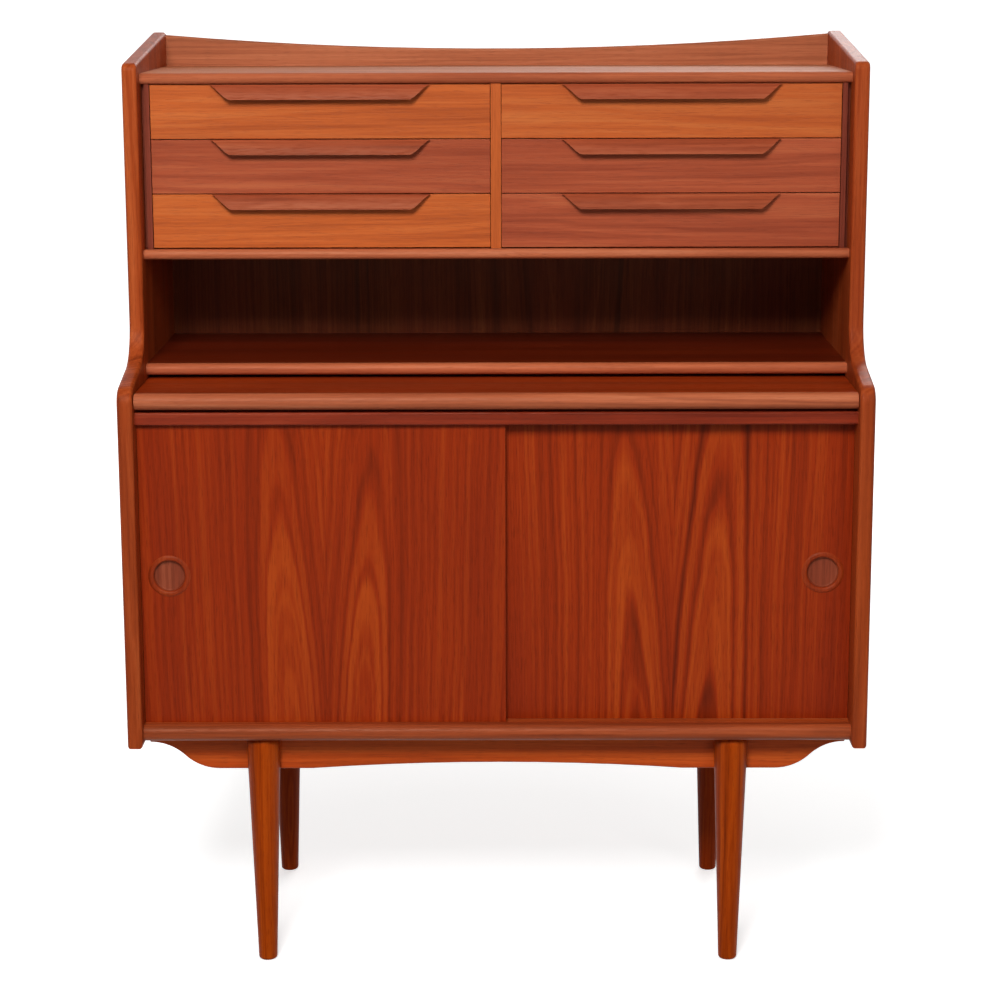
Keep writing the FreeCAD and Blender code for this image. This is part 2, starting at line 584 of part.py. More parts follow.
def drawer(side, tier, label):
    """One drawer: front, lip handle, box and bottom. side is -1 on the left and 1 on the right."""
    bay = f"({INNER} - lining - divider / 2)"
    middle = f"({side} * ({INNER} - lining + divider / 2) / 2)"
    level = drawer_level(tier)
    key = f"{'L' if side < 0 else 'R'}{tier}"
    half = f"({bay} / 2 - drawer_side_gap)"
    box_half = f"({bay} / 2 - drawer_play)"
    inside = f"({box_half} - drawer_side)"
    ply_level = "(drawer_side_lift + drawer_ply_lift)"

    front = extruded(f"Front{key}", "XY_Plane",
                     [(f"-{half}", "0"), (half, "0"), (half, "drawer_front"), (f"-{half}", "drawer_front")],
                     "drawer_rise", (middle, DRAWER_FACE, level))
    soften(front, "drawer_edge", lambda box: close(box.YMin, 0) and close(box.YMax, 0))
    slot(front, (f"-({inside} + drawer_ply_groove)", "drawer_front - drawer_ply_groove", ply_level),
         (f"2 * ({inside} + drawer_ply_groove)", "drawer_ply_groove", "drawer_ply"))
    node(front, f"{label}_front")
    node(lip_handle(f"Lip{key}", (middle, DRAWER_FACE, f"{level} + drawer_rise")), f"{label}_handle")

    length = f"({DRAWER_REAR} - {DRAWER_BACK})"
    low = f"({level} + drawer_side_lift)"
    groove_low = "(runner_lift - runner_play)"
    groove_rise = "(runner_rise + 2 * runner_play)"
    groove_deep = "(runner_reach - drawer_play + runner_play)"
    boards = []
    for name, sign in (("A", -1), ("B", 1)):
        outer = f"-{box_half}" if sign < 0 else inside
        body = new_body(f"Side{key}{name}", (f"{middle} + {outer}", DRAWER_BACK, low))
        blank = body.newObject("PartDesign::AdditiveBox", f"Blank{key}{name}")
        bind(blank, Length="drawer_side", Width=length, Height="drawer_side_rise")
        slot(body, ("0" if sign < 0 else f"drawer_side - {groove_deep}", "0", groove_low),
             (groove_deep, length, groove_rise))
        slot(body, ("drawer_side - drawer_ply_groove" if sign < 0 else "0", "0", "drawer_ply_lift"),
             ("drawer_ply_groove", length, "drawer_ply"))
        boards.append(body)
    back_low = f"({low} + drawer_ply_lift + drawer_ply)"
    boards.append(block(f"Back{key}", (f"{middle} - {inside}", f"{DRAWER_REAR} - drawer_side", back_low),
                        (f"2 * {inside}", "drawer_side", "drawer_side_rise - drawer_ply_lift - drawer_ply")))
    node(group(f"Box{key}", boards), f"{label}_box")
    corner = (f"{middle} - {inside} - drawer_ply_groove", f"{DRAWER_BACK} - drawer_ply_groove",
              f"{low} + drawer_ply_lift")
    size = (f"2 * ({inside} + drawer_ply_groove)", f"{length} + drawer_ply_groove", "drawer_ply")
    node(block(f"Bottom{key}", corner, size), f"{label}_bottom")


def lip_handle(name, corner):
    """A handle hollowed below for the fingers, its ends cut back to a trapezoid."""
    section = [
        ("0", "0"),
        ("-lip_top", "0", "lip_bow", -1),
        ("-lip_reach", "-lip_rise"),
        ("-lip_reach + lip_edge", "-lip_rise", "lip_scoop", 1),
        ("0", "-lip_root"),
    ]
    body = extruded(name, "YZ_Plane", section, "lip_long", corner, symmetric=True)
    ends = sketch_on(body, "XZ_Plane", "Ends")
    for tag, sign in (("low", "-"), ("high", "")):
        outline(ends, [(f"{sign} lip_long / 2", "0"), (f"{sign} lip_short / 2", "-lip_rise"),
                       (f"{sign} lip_long / 2", "-lip_rise")], tag)
    pocket = body.newObject("PartDesign::Pocket", f"{name}_Ends")
    pocket.Profile = ends
    pocket.Type = "ThroughAll"
    pocket.Reversed = True
    face = -value("lip_reach")
    soften(body, "lip_soft", lambda box: box.YMin < face + 0.01 and box.YMax < face + 1 and box.XLength > 100)
    return body


def doors():
    """Two sliding doors, the left one on the front track, each with a turned cup pull."""
    width = f"({INNER} + door_lap / 2 - door_end_gap)"
    low = f"({CABINET_FLOOR} - lower_groove + door_lift)"
    height = f"({DOOR_HEAD} + door_engage - {low})"
    pull_x = f"({INNER} - pull_inset)"
    pull_z = f"({CABINET_FLOOR} + pull_lift)"
    for label, face, edge, pull_at in (("left", FRONT_DOOR, f"-({INNER} - door_end_gap)", f"-{pull_x}"),
                                       ("right", REAR_DOOR, "-door_lap / 2", pull_x)):
        body = extruded(f"Door_{label}", "XY_Plane",
                        [("0", "0"), (width, "0"), (width, "door_board"), ("0", "door_board")],
                        height, (edge, face, low))
        bore = body.newObject("PartDesign::SubtractiveCylinder", f"Bore_{label}")
        bind(bore, Radius="pull_cup", Height="pull_depth")
        bore.Placement = FreeCAD.Placement(FreeCAD.Vector(), TO_BACK)
        place(bore, f"{pull_at} - ({edge})", "0", f"{pull_z} - {low}")
        node(body, f"door_{label}")
        node(cup_pull(f"Pull_{label}", (pull_at, face, pull_z)), f"pull_{label}")


def cup_pull(name, corner):
    """A turned cup with a crowned rim; local Y = 0 is the door's face."""
    body = new_body(name, corner)
    sketch = sketch_on(body, "XY_Plane", "Profile")
    band = "(pull_rim - pull_hollow)"
    crown = f"(({band}^2 / 4 + pull_proud^2) / (2 * pull_proud))"
    floor = "(pull_depth - pull_floor)"
    outline(sketch, [("0", floor), ("0", "pull_depth"), ("pull_cup", "pull_depth"), ("pull_cup", "0"),
                     ("pull_rim", "0", crown, 1), ("pull_hollow", "0"), ("pull_hollow", floor)])
    feature = body.newObject("PartDesign::Revolution", f"{name}_Turned")
    feature.Profile = sketch
    feature.ReferenceAxis = (sketch, ["V_Axis"])
    feature.Angle = 360
    return body


def cabinet_inside():
    """Partition, shelves and shelf pins behind the doors."""
    front = f"({DOOR_CLEAR} + partition_gap)"
    body = extruded("Partition", "YZ_Plane",
                    [(front, CABINET_FLOOR), (BOARD_REAR, CABINET_FLOOR),
                     (BOARD_REAR, DOOR_HEAD), (front, DOOR_HEAD)],
                    "partition", ("-partition / 2", "0", "0"))
    pin_holes(body, "0", True, "partition")
    node(body, "cabinet_partition")
    pin_level = f"({CABINET_FLOOR} + pin_start + {PIN_CHOSEN} * pin_pitch)"
    wall = "(partition / 2)"
    span = f"({INNER} - {wall} - 2 * shelf_end_gap)"
    size = (span, f"{SHELF_REAR} - {SHELF_FRONT}", "shelf_board")
    top = f"{pin_level} + pin_radius"
    node(block("ShelfLeft", (f"-({INNER} - shelf_end_gap)", SHELF_FRONT, top), size), "cabinet_shelf_left")
    node(block("ShelfRight", (f"{wall} + shelf_end_gap", SHELF_FRONT, top), size), "cabinet_shelf_right")
    pins = []
    for index, row in enumerate(PIN_ROWS):
        for name, start in (("A", f"-{INNER} - pin_length / 2"), ("B", f"-{wall} - pin_length / 2"),
                            ("C", wall + " - pin_length / 2"), ("D", f"{INNER} - pin_length / 2")):
            pin = DOC.addObject("Part::Cylinder", f"Pin{name}{index}")
            bind(pin, Radius="pin_radius", Height="pin_length")
            pin.Placement = FreeCAD.Placement(FreeCAD.Vector(), FreeCAD.Rotation(FreeCAD.Vector(0, 1, 0), 90))
            place(pin, start, row, pin_level)
            pins.append(pin)
    node(group("Pins", pins), "shelf_pins")


def apron(name, rear_face):
    """An apron: ogee ends, flat where the legs stand and arched in the middle."""
    drop = "(apron_rise - apron_end)"
    radius = f"((apron_ogee^2 + {drop}^2) / (4 * {drop}))"
    arch = "((apron_arch^2 + arch_rise^2) / (2 * arch_rise))"
    top, end, low = "leg_length", "(leg_length - apron_end)", APRON_UNDER
    middle = f"(({end} + {low}) / 2)"
    corners = [
        ("-apron_half", end, radius, 1),
        ("-apron_half + apron_ogee / 2", middle, radius, -1),
        ("-apron_half + apron_ogee", low),
        ("-apron_arch", low, arch, 1),
        ("apron_arch", low),
        ("apron_half - apron_ogee", low, radius, -1),
        ("apron_half - apron_ogee / 2", middle, radius, 1),
        ("apron_half", end),
        ("apron_half", top),
        ("-apron_half", top),
    ]
    body = extruded(name, "XZ_Plane", corners, "apron_board", ("0", rear_face, "0"))
    top_z = value(top)
    soften(body, "apron_soft", lambda box: box.YLength < 0.01 and box.ZMax < top_z - 1)
    return body


def leg(name, across, along, lap_side):
    """A round tapered leg, flat and seated where it laps an apron; lap_side is the way to the apron."""
    body = new_body(name, (across, along, "0"))
    sketch = sketch_on(body, "XZ_Plane", "Profile")
    outline(sketch, [("0", "0"), ("leg_foot", "0"), ("leg_top", "leg_length"), ("0", "leg_length")])
    turned = body.newObject("PartDesign::Revolution", f"{name}_Turned")
    turned.Profile = sketch
    turned.ReferenceAxis = (sketch, ["V_Axis"])
    turned.Angle = 360
    length = value("leg_length")
    soften(body, "foot_round", lambda box: close(box.ZMax, 0) and box.XLength > 1)
    soften(body, "leg_shoulder", lambda box: close(box.ZMin, length) and box.XLength > 1)
    near = "leg_lap" if lap_side > 0 else "-2 * leg_top"
    slot(body, ("-leg_top", near, APRON_UNDER), ("2 * leg_top", "2 * leg_top - leg_lap", "apron_rise"))
    return body


def base(fixings):
    """Aprons, stretchers and legs."""
    aprons = {"apron_front": apron("ApronFront", APRON_INNER),
              "apron_rear": apron("ApronRear", f"-{APRON_FACE}")}
    for label, body in aprons.items():
        node(cut(f"Drilled_{label}", body, fixings), label)
    for name, sign in (("left", "-"), ("right", "")):
        bar = block(f"Bar_{name}", (f"{sign} stretcher_offset - apron_board / 2", APRON_INNER,
                                    "leg_length - stretcher_rise"),
                    ("apron_board", f"-2 * {APRON_INNER}", "stretcher_rise"))
        node(cut(f"Drilled_{name}", bar, fixings), f"stretcher_{name}")
        for end, along, lap_side in (("front", LEG_FRONT, 1), ("rear", f"-{LEG_FRONT}", -1)):
            body = leg(f"Leg_{end}_{name}", f"{sign} leg_offset", along, lap_side)
            node(cut(f"Drilled_{end}_{name}", body, fixings), f"leg_{end}_{name}")


def write_parts():
    """Check every object and each sub-part's shape, then write one file for each sub-part."""
    DOC.recompute()
    failed = [item.Name for item in DOC.Objects if {"Invalid", "Error"} & set(item.State)]
    if failed:
        raise RuntimeError(f"objects failed to compute: {failed}")
    labels = [item.Label for item in NODES]
    if len(set(labels)) != len(labels):
        raise RuntimeError("two sub-parts share a name")
    for item in NODES:
        if item.Shape.isNull() or not item.Shape.isValid() or not item.Shape.Solids:
            raise RuntimeError(f"{item.Label} has no valid solid")
    os.makedirs("parts", exist_ok=True)
    for item in NODES:
        item.Shape.exportStep(f"parts/{item.Label}.step")
    print(f"{len(NODES)} sub-parts written")


back_fixings = back_screws()
frame_fixings = frame_screws()
side_panel("side_panel_left", "-width / 2", "side_board", mirrored=False)
side_panel("side_panel_right", INNER, "0", mirrored=True)
carcass(back_fixings, frame_fixings)
uprights()
back_panels(back_fixings)
gallery()
leaf()
for column, side in (("left", -1), ("right", 1)):
    for tier, height in enumerate(("bottom", "middle", "top")):
        drawer(side, tier, f"drawer_{column}_{height}")
doors()
cabinet_inside()
base(frame_fixings)
write_parts()
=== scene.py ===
"""Looks of a teak secretary desk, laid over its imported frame.

The desk is a hutch of six shallow drawers over an open niche, a sliding writing leaf, and a cabinet
with two sliding doors on four tapered legs. Each sub-assembly is a class that shapes and dresses its
own pieces. Lengths are metres, +X is to the right, +Y to the back and +Z up.
"""

import logging
import math
from dataclasses import dataclass, field, replace
from enum import Enum
from typing import Any, Callable, Sequence

import bmesh
import bpy
from mathutils import Matrix, Vector


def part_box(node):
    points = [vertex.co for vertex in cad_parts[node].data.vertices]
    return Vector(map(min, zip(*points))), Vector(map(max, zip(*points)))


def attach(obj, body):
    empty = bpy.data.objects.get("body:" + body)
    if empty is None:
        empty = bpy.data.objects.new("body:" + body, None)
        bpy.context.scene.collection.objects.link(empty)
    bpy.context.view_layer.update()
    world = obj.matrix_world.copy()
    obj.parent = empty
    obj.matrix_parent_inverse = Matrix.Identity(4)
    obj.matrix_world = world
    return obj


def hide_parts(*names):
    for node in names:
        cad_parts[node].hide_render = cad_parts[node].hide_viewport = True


LOG = logging.getLogger("desk")

Colour = tuple[float, float, float]
Socket = bpy.types.NodeSocket
Point = tuple[float, float, float]


def linear(red: float, green: float, blue: float) -> Colour:
    """Turn a display colour into the linear values that shaders take.

    Args:
        red: Red, from 0 to 255.
        green: Green, from 0 to 255.
        blue: Blue, from 0 to 255.

    Returns:
        The colour in linear light.
    """
    def lift(channel: float) -> float:
        """One channel in linear light."""
        share = channel / 255
        return share / 12.92 if share <= 0.04045 else ((share + 0.055) / 1.055) ** 2.4
    return lift(red), lift(green), lift(blue)


class Axis(Enum):
    """A direction of the desk's frame."""

    SIDEWAYS = 0
    DEPTHWAYS = 1
    UPWARD = 2


class Graph:
    """Writes nodes into a tree, so that a pattern reads as one step after another."""

    def __init__(self, tree: bpy.types.NodeTree) -> None:
        """Keep the tree that the nodes go into."""
        self.tree = tree

    def add(self, kind: str, feeds: dict[Any, Any] | None = None, **settings: Any) -> bpy.types.Node:
        """Add a node.

        Args:
            kind: The node's type name.
            feeds: What goes into each input, by name or number: a socket or a plain value.
            **settings: Properties of the node.

        Returns:
            The new node.
        """
        node = self.tree.nodes.new(kind)
        for name, value in settings.items():
            setattr(node, name, value)
        for name, value in (feeds or {}).items():
            if isinstance(value, Socket):
                self.tree.links.new(value, node.inputs[name])
            else:
                node.inputs[name].default_value = value
        return node

    def math(self, operation: str, *values: Any, clamp: bool = False) -> Socket:
        """Combine one to three numbers.

        Args:
            operation: The operation's name.
            *values: Sockets or plain numbers.
            clamp: Whether the result is held between 0 and 1.

        Returns:
            The result's socket.
        """
        return self.add("ShaderNodeMath", dict(enumerate(values)), operation=operation,
                        use_clamp=clamp).outputs[0]

    def stretch(self, place: Socket, scale: Point) -> Socket:
        """Scale a place along its three directions."""
        return self.add("ShaderNodeVectorMath", {0: place, 1: scale}, operation="MULTIPLY").outputs[0]

    def noise(self, place: Socket, detail: float = 2.0, roughness: float = 0.5,
              distortion: float = 0.0) -> Socket:
        """Smooth noise, from 0 to 1, with features about one unit across.

        Args:
            place: Where the noise is read.
            detail: How many finer layers it has.
            roughness: How strong those layers are.
            distortion: How much it swirls.

        Returns:
            The noise's socket.
        """
        feeds = {"Vector": place, "Scale": 1.0, "Detail": detail, "Roughness": roughness,
                 "Distortion": distortion}
        return self.add("ShaderNodeTexNoise", feeds).outputs["Fac"]

    def noise_along(self, distance: Socket, detail: float = 2.0) -> Socket:
        """Smooth noise that changes with one number only."""
        return self.add("ShaderNodeTexNoise", {"W": distance, "Scale": 1.0, "Detail": detail},
                        noise_dimensions="1D").outputs["Fac"]

    def spread(self, value: Socket, low: float, high: float, to_low: float = 0.0,
               to_high: float = 1.0) -> Socket:
        """Map a number's range onto another and hold it there.

        Args:
            value: The number.
            low: Its value that becomes to_low.
            high: Its value that becomes to_high.
            to_low: Start of the new range.
            to_high: End of the new range.

        Returns:
            The mapped number's socket.
        """
        feeds = {"Value": value, "From Min": low, "From Max": high, "To Min": to_low, "To Max": to_high}
        return self.add("ShaderNodeMapRange", feeds, clamp=True).outputs["Result"]

    def ramp(self, share: Socket, *stops: tuple[float, Colour]) -> Socket:
        """Colours along a scale from 0 to 1.

        Args:
            share: Where on the scale.
            *stops: Places on the scale with their colours.

        Returns:
            The colour's socket.
        """
        node = self.add("ShaderNodeValToRGB", {"Fac": share})
        elements = node.color_ramp.elements
        while len(elements) < len(stops):
            elements.new(1.0)
        for element, (place, colour) in zip(elements, stops):
            element.position = place
            element.color = (*colour, 1.0)
        return node.outputs["Color"]

    def mix(self, share: Any, first: Any, second: Any, mode: str = "MIX") -> Socket:
        """Mix two colours.

        Args:
            share: How much of the second, from 0 to 1.
            first: A colour or its socket.
            second: A colour or its socket.
            mode: The blend mode.

        Returns:
            The mixed colour's socket.
        """
        first, second = ((*item, 1.0) if isinstance(item, tuple) else item for item in (first, second))
        node = self.add("ShaderNodeMix", {0: share, 6: first, 7: second}, data_type="RGBA",
                        blend_type=mode)
        return node.outputs[2]

    def edges(self, radius: float) -> Socket:
        """How close a place is to a sharp edge of its piece: 0 on a flat, 1 on the edge."""
        round_normal = self.add("ShaderNodeBevel", {"Radius": radius}, samples=4).outputs["Normal"]
        true_normal = self.add("ShaderNodeNewGeometry").outputs["Normal"]
        alike = self.add("ShaderNodeVectorMath", {0: round_normal, 1: true_normal},
                         operation="DOT_PRODUCT").outputs["Value"]
        return self.spread(alike, 0.99, 0.80)


@dataclass(frozen=True)
class Cut:
    """How a board lies in its log, and so which figure its faces show.

    Attributes:
        along: Direction of the grain.
        across: Direction across the face.
        through: Direction through the board.
        heart: Where the heart lies, across and behind the face.
        climb: How fast the heart sinks behind the face along the grain.
        stray: How fast it moves across the face along the grain.
        matched: Whether two leaves mirror each other about the middle.
        arm: Radius of the dark ring that frames the arches, or 0 for none.
        seed: Picks the place in the log.
    """

    along: Axis = Axis.SIDEWAYS
    across: Axis = Axis.UPWARD
    through: Axis = Axis.DEPTHWAYS
    heart: tuple[float, float] = (0.04, 0.09)
    climb: float = 0.012
    stray: float = 0.0
    matched: bool = False
    arm: float = 0.0
    seed: int = 0


@dataclass(frozen=True)
class Teak:
    """Oiled teak: the colours of its dark, middle and light wood, and how lively its figure is.

    Attributes:
        redden: The colour that it drifts to in places, by drift.
        ring: Width of a year's growth.
        rings: How much the rings show; streaks, pores and the edge wear with its painted edge highlight go by
            the same scale.
        matt: Roughness of the oiled surface.
        sheen: Strength of its gloss.
    """

    dark: Colour
    middle: Colour
    light: Colour
    redden: Colour = linear(120, 40, 26)
    drift: float = 0.35
    ring: float = 0.0045
    rings: float = 0.4
    streaks: float = 0.55
    pores: float = 0.35
    # Lightening along sharp edges: partly rubbed wear, partly a painted edge highlight.
    edge_wear_and_highlight: float = 0.3
    matt: float = 0.40
    sheen: float = 0.20

    def material(self, name: str, cut: Cut, origin: Vector, veneer: "Teak | None" = None,
                 strip_end: float = 0.0) -> bpy.types.Material:
        """Grow the wood for one board.

        The log is a set of rings round a heart that runs beside the board and slowly leaves it, so
        flat faces show arches, edges show stripes and ends show rings.

        Args:
            name: The material's name.
            cut: How the board lies in the log.
            origin: The board's own middle, from which the cut is measured.
            veneer: The veneer behind the board's solid front edge, where it has one.
            strip_end: Where that solid edge ends, measured to the back.

        Returns:
            The material.
        """
        material, graph, shader = new_material(name)
        whole = graph.add("ShaderNodeTexCoord").outputs["Object"]
        place = graph.add("ShaderNodeVectorMath", {0: whole, 1: tuple(origin)},
                          operation="SUBTRACT").outputs[0]
        parts = graph.add("ShaderNodeSeparateXYZ", {0: place}).outputs
        across, through, along = (parts[axis.value] for axis in (cut.across, cut.through, cut.along))
        sides = across
        if cut.matched:
            across = graph.math("ABSOLUTE", across)
        shift = graph.math("ADD", along, 0.73 * cut.seed + 0.17)
        grain = graph.add("ShaderNodeCombineXYZ", {0: graph.math("ADD", across, 0.31 * cut.seed),
                                                   1: through, 2: shift}).outputs[0]

        wander = graph.noise(graph.stretch(grain, (9.0, 9.0, 3.0)), detail=3.0)
        ripple = graph.noise(graph.stretch(grain, (70.0, 70.0, 14.0)), detail=2.0)
        beside = graph.math("SUBTRACT", across, cut.heart[0])
        beside = graph.math("MULTIPLY_ADD", along, -cut.stray, beside)
        below = graph.math("MULTIPLY_ADD", along, cut.climb, cut.heart[1])
        below = graph.math("ADD", below, through)
        radius = graph.math("SQRT", graph.math("ADD", graph.math("POWER", beside, 2.0),
                                               graph.math("POWER", below, 2.0)))
        radius = graph.math("MULTIPLY_ADD", wander, 0.016, radius)
        radius = graph.math("MULTIPLY_ADD", ripple, 0.0016, radius)
        lean = graph.math("MULTIPLY_ADD", graph.math("SIGN", sides), 0.5 * self.ring, radius)
        phase = graph.math("ADD", lean if cut.matched else radius, 1.7 * cut.seed)

        late = graph.noise_along(graph.math("MULTIPLY", phase, 0.9 / self.ring), detail=1.0)
        fine = graph.noise_along(graph.math("MULTIPLY", phase, 2.6 / self.ring), detail=1.0)
        wide = graph.noise_along(graph.math("MULTIPLY", phase, 0.22 / self.ring), detail=1.0)
        rings = graph.math("MULTIPLY_ADD", late, 0.5, graph.math("MULTIPLY", fine, 0.2))
        rings = graph.math("MULTIPLY_ADD", wide, 0.3, rings)
        streak = graph.noise(graph.stretch(grain, (260.0, 260.0, 4.5)), detail=3.0, roughness=0.6)
        stripe = graph.noise(graph.stretch(grain, (38.0, 38.0, 1.3)), detail=2.0)
        streaks = graph.math("MULTIPLY_ADD", streak, 0.5, graph.math("MULTIPLY", stripe, 0.5))
        tone = graph.math("MULTIPLY_ADD", graph.math("SUBTRACT", rings, 0.5), self.rings * 2.2, 0.5)
        tone = graph.math("MULTIPLY_ADD", graph.math("SUBTRACT", streaks, 0.5), self.streaks * 2.2, tone)
        if cut.arm:
            offset = graph.math("ABSOLUTE", graph.math("SUBTRACT", radius, cut.arm))
            line = graph.spread(offset, 0.0045, 0.0003)  # the dark ring fades out over 4.5 mm
            core = graph.spread(radius, cut.arm - 0.004, cut.arm - 0.024)  # paler wood inside it
            heart = graph.spread(radius, 0.037, 0.024)  # darker wood by the heart
            arches = graph.math("MULTIPLY", core, graph.math("SUBTRACT", late, 0.42))
            tone = graph.math("MULTIPLY_ADD", core, 0.08, tone)
            tone = graph.math("MULTIPLY_ADD", arches, 0.5, tone)
            tone = graph.math("MULTIPLY_ADD", heart, -0.15, tone)
            tone = graph.math("MULTIPLY_ADD", graph.math("MULTIPLY", line, wide), -0.36, tone)
        colour = graph.ramp(tone, (0.12, self.dark), (0.5, self.middle), (0.88, self.light))
        if veneer:
            reach = graph.add("ShaderNodeSeparateXYZ", {0: whole}).outputs[1]
            field_colour = graph.ramp(tone, (0.12, veneer.dark), (0.5, veneer.middle), (0.88, veneer.light))
            behind = graph.spread(reach, strip_end - 0.0002, strip_end + 0.0002)
            colour = graph.mix(behind, colour, field_colour)
            # A dark line where the solid edge meets the veneer; on the turned pulls this ring falls inside
            # the cup wall as painted shade.
            glue_line_and_shade = graph.math("ABSOLUTE", graph.math("SUBTRACT", reach, strip_end))
            glue_line_and_shade = graph.spread(glue_line_and_shade, 0.0005, 0.0002)
            colour = graph.mix(graph.math("MULTIPLY", glue_line_and_shade, 0.5), colour, veneer.dark)

        mood = graph.noise(graph.stretch(grain, (7.0, 7.0, 1.6)), detail=2.0)
        mood = graph.math("MULTIPLY", graph.spread(mood, 0.42, 0.68), self.drift)
        colour = graph.mix(mood, colour, self.redden)
        pore = graph.noise(graph.stretch(grain, (1500.0, 1500.0, 55.0)), detail=1.0)
        pore = graph.spread(pore, 0.56, 0.70)
        colour = graph.mix(graph.math("MULTIPLY", pore, self.pores), colour, self.dark)
        # Sharp edges lightened towards the light wood: partly rubbed wear, partly a painted edge highlight.
        rub_and_highlight = graph.noise(graph.stretch(grain, (60.0, 60.0, 60.0)), detail=2.0)
        rub_and_highlight = graph.math("MULTIPLY", graph.edges(0.0018), graph.spread(rub_and_highlight, 0.3, 0.75))
        colour = graph.mix(graph.math("MULTIPLY", rub_and_highlight, self.edge_wear_and_highlight), colour, self.light)

        matt = graph.math("MULTIPLY_ADD", streak, 0.16, self.matt - 0.08)
        matt = graph.math("MULTIPLY_ADD", pore, 0.12, matt)
        relief = graph.math("MULTIPLY_ADD", pore, -0.7, graph.math("MULTIPLY", streak, 0.6))
        relief = graph.math("MULTIPLY_ADD", late, 0.25, relief)
        bump = graph.add("ShaderNodeBump", {"Height": relief, "Strength": 0.35, "Distance": 0.0005})
        graph.tree.links.new(colour, shader.inputs["Base Color"])
        graph.tree.links.new(matt, shader.inputs["Roughness"])
        graph.tree.links.new(bump.outputs[0], shader.inputs["Normal"])
        shader.inputs["Specular IOR Level"].default_value = self.sheen
        shader.inputs["Specular Tint"].default_value = (1.0, 0.72, 0.52, 1.0)
        return material


@dataclass(frozen=True)
class Metal:
    """Plain metal, turned or drawn, a little tarnished."""

    clean: Colour
    tarnish: Colour
    roughness: float = 0.34

    def material(self, name: str) -> bpy.types.Material:
        """Make the metal's material.

        Args:
            name: The material's name.

        Returns:
            The material.
        """
        material, graph, shader = new_material(name)
        place = graph.add("ShaderNodeTexCoord").outputs["Object"]
        cloud = graph.noise(graph.stretch(place, (320.0, 320.0, 320.0)), detail=4.0)
        scratch = graph.noise(graph.stretch(place, (2600.0, 400.0, 2600.0)), detail=2.0)
        colour = graph.mix(graph.spread(cloud, 0.42, 0.72), self.clean, self.tarnish)
        rough = graph.math("MULTIPLY_ADD", cloud, 0.3, self.roughness - 0.15)
        bump = graph.add("ShaderNodeBump", {"Height": scratch, "Strength": 0.3, "Distance": 0.0001})
        graph.tree.links.new(colour, shader.inputs["Base Color"])
        graph.tree.links.new(rough, shader.inputs["Roughness"])
        graph.tree.links.new(bump.outputs[0], shader.inputs["Normal"])
        shader.inputs["Metallic"].default_value = 1.0
        return material


def new_material(name: str) -> tuple[bpy.types.Material, Graph, bpy.types.Node]:
    """Make an empty material.

    Args:
        name: The material's name.

    Returns:
        The material, a graph on its node tree, and its shader.
    """
    material = bpy.data.materials.new(name)
    material.use_nodes = True
    graph = Graph(material.node_tree)
    return material, graph, material.node_tree.nodes["Principled BSDF"]


# Finishes. Each sub-assembly's wood came from its own flitch; some finishes are darker or lighter copies that
# paint shade or highlight.
CASE = Teak(linear(107, 36, 12), linear(166, 68, 26), linear(196, 95, 46), drift=0.3, sheen=0.12)
DRAWER = Teak(linear(140, 57, 26), linear(199, 97, 43), linear(221, 127, 65), drift=0.22, rings=0.25,
              streaks=0.45)
DRAWER_RED = Teak(linear(122, 47, 30), linear(172, 80, 50), linear(200, 110, 70), drift=0.35, rings=0.25,
                  streaks=0.45)
DOOR = Teak(linear(81, 18, 3), linear(154, 46, 9), linear(189, 77, 21), redden=linear(116, 28, 12),
            rings=0.32, streaks=0.27, edge_wear_and_highlight=0.15, ring=0.006, sheen=0.14)
SOLID = Teak(linear(126, 56, 34), linear(186, 98, 62), linear(212, 134, 96), drift=0.2, rings=0.25)
# Very dark wood for the niche's floor, ceiling and leaf guides: painted shade inside the niche.
NICHE_SHADED = Teak(linear(55, 10, 1), linear(97, 24, 3), linear(125, 39, 6))
NOSE = Teak(linear(137, 60, 35), linear(196, 102, 64), linear(216, 132, 93), drift=0.2, rings=0.25)
RAIL = Teak(linear(86, 19, 8), linear(143, 47, 23), linear(176, 76, 44), drift=0.3)
SILL = Teak(linear(107, 42, 19), linear(168, 75, 37), linear(201, 106, 63), drift=0.2)
GALLERY = Teak(linear(117, 58, 35), linear(177, 100, 66), linear(207, 132, 94), drift=0.1, rings=0.3)
LIP = Teak(linear(109, 43, 25), linear(160, 73, 43), linear(187, 103, 68), drift=0.2, rings=0.25, sheen=0.12)
# Top shelf surface, lighter than the solid wood: partly a painted highlight.
TRAY = Teak(linear(142, 71, 40), linear(198, 118, 77), linear(220, 144, 100))
LEAF = Teak(linear(97, 23, 4), linear(155, 49, 8), linear(190, 71, 18), drift=0.3)
# Darker than the case wood: painted shade on the back of the niche.
BACK = Teak(linear(63, 23, 11), linear(108, 46, 23), linear(135, 68, 37), rings=0.4)
BASE = Teak(linear(123, 39, 7), linear(200, 77, 19), linear(234, 108, 37), rings=0.3, drift=0.15)
# A darker copy of the leg wood for the rear legs: painted shade under the cabinet.
LEG_REAR_SHADED = Teak(linear(87, 27, 1), linear(151, 50, 6), linear(183, 71, 14), rings=0.45, drift=0.1, sheen=0.06)
LEG = Teak(linear(106, 31, 2), linear(173, 65, 6), linear(202, 89, 15), rings=0.45, drift=0.1, sheen=0.08)
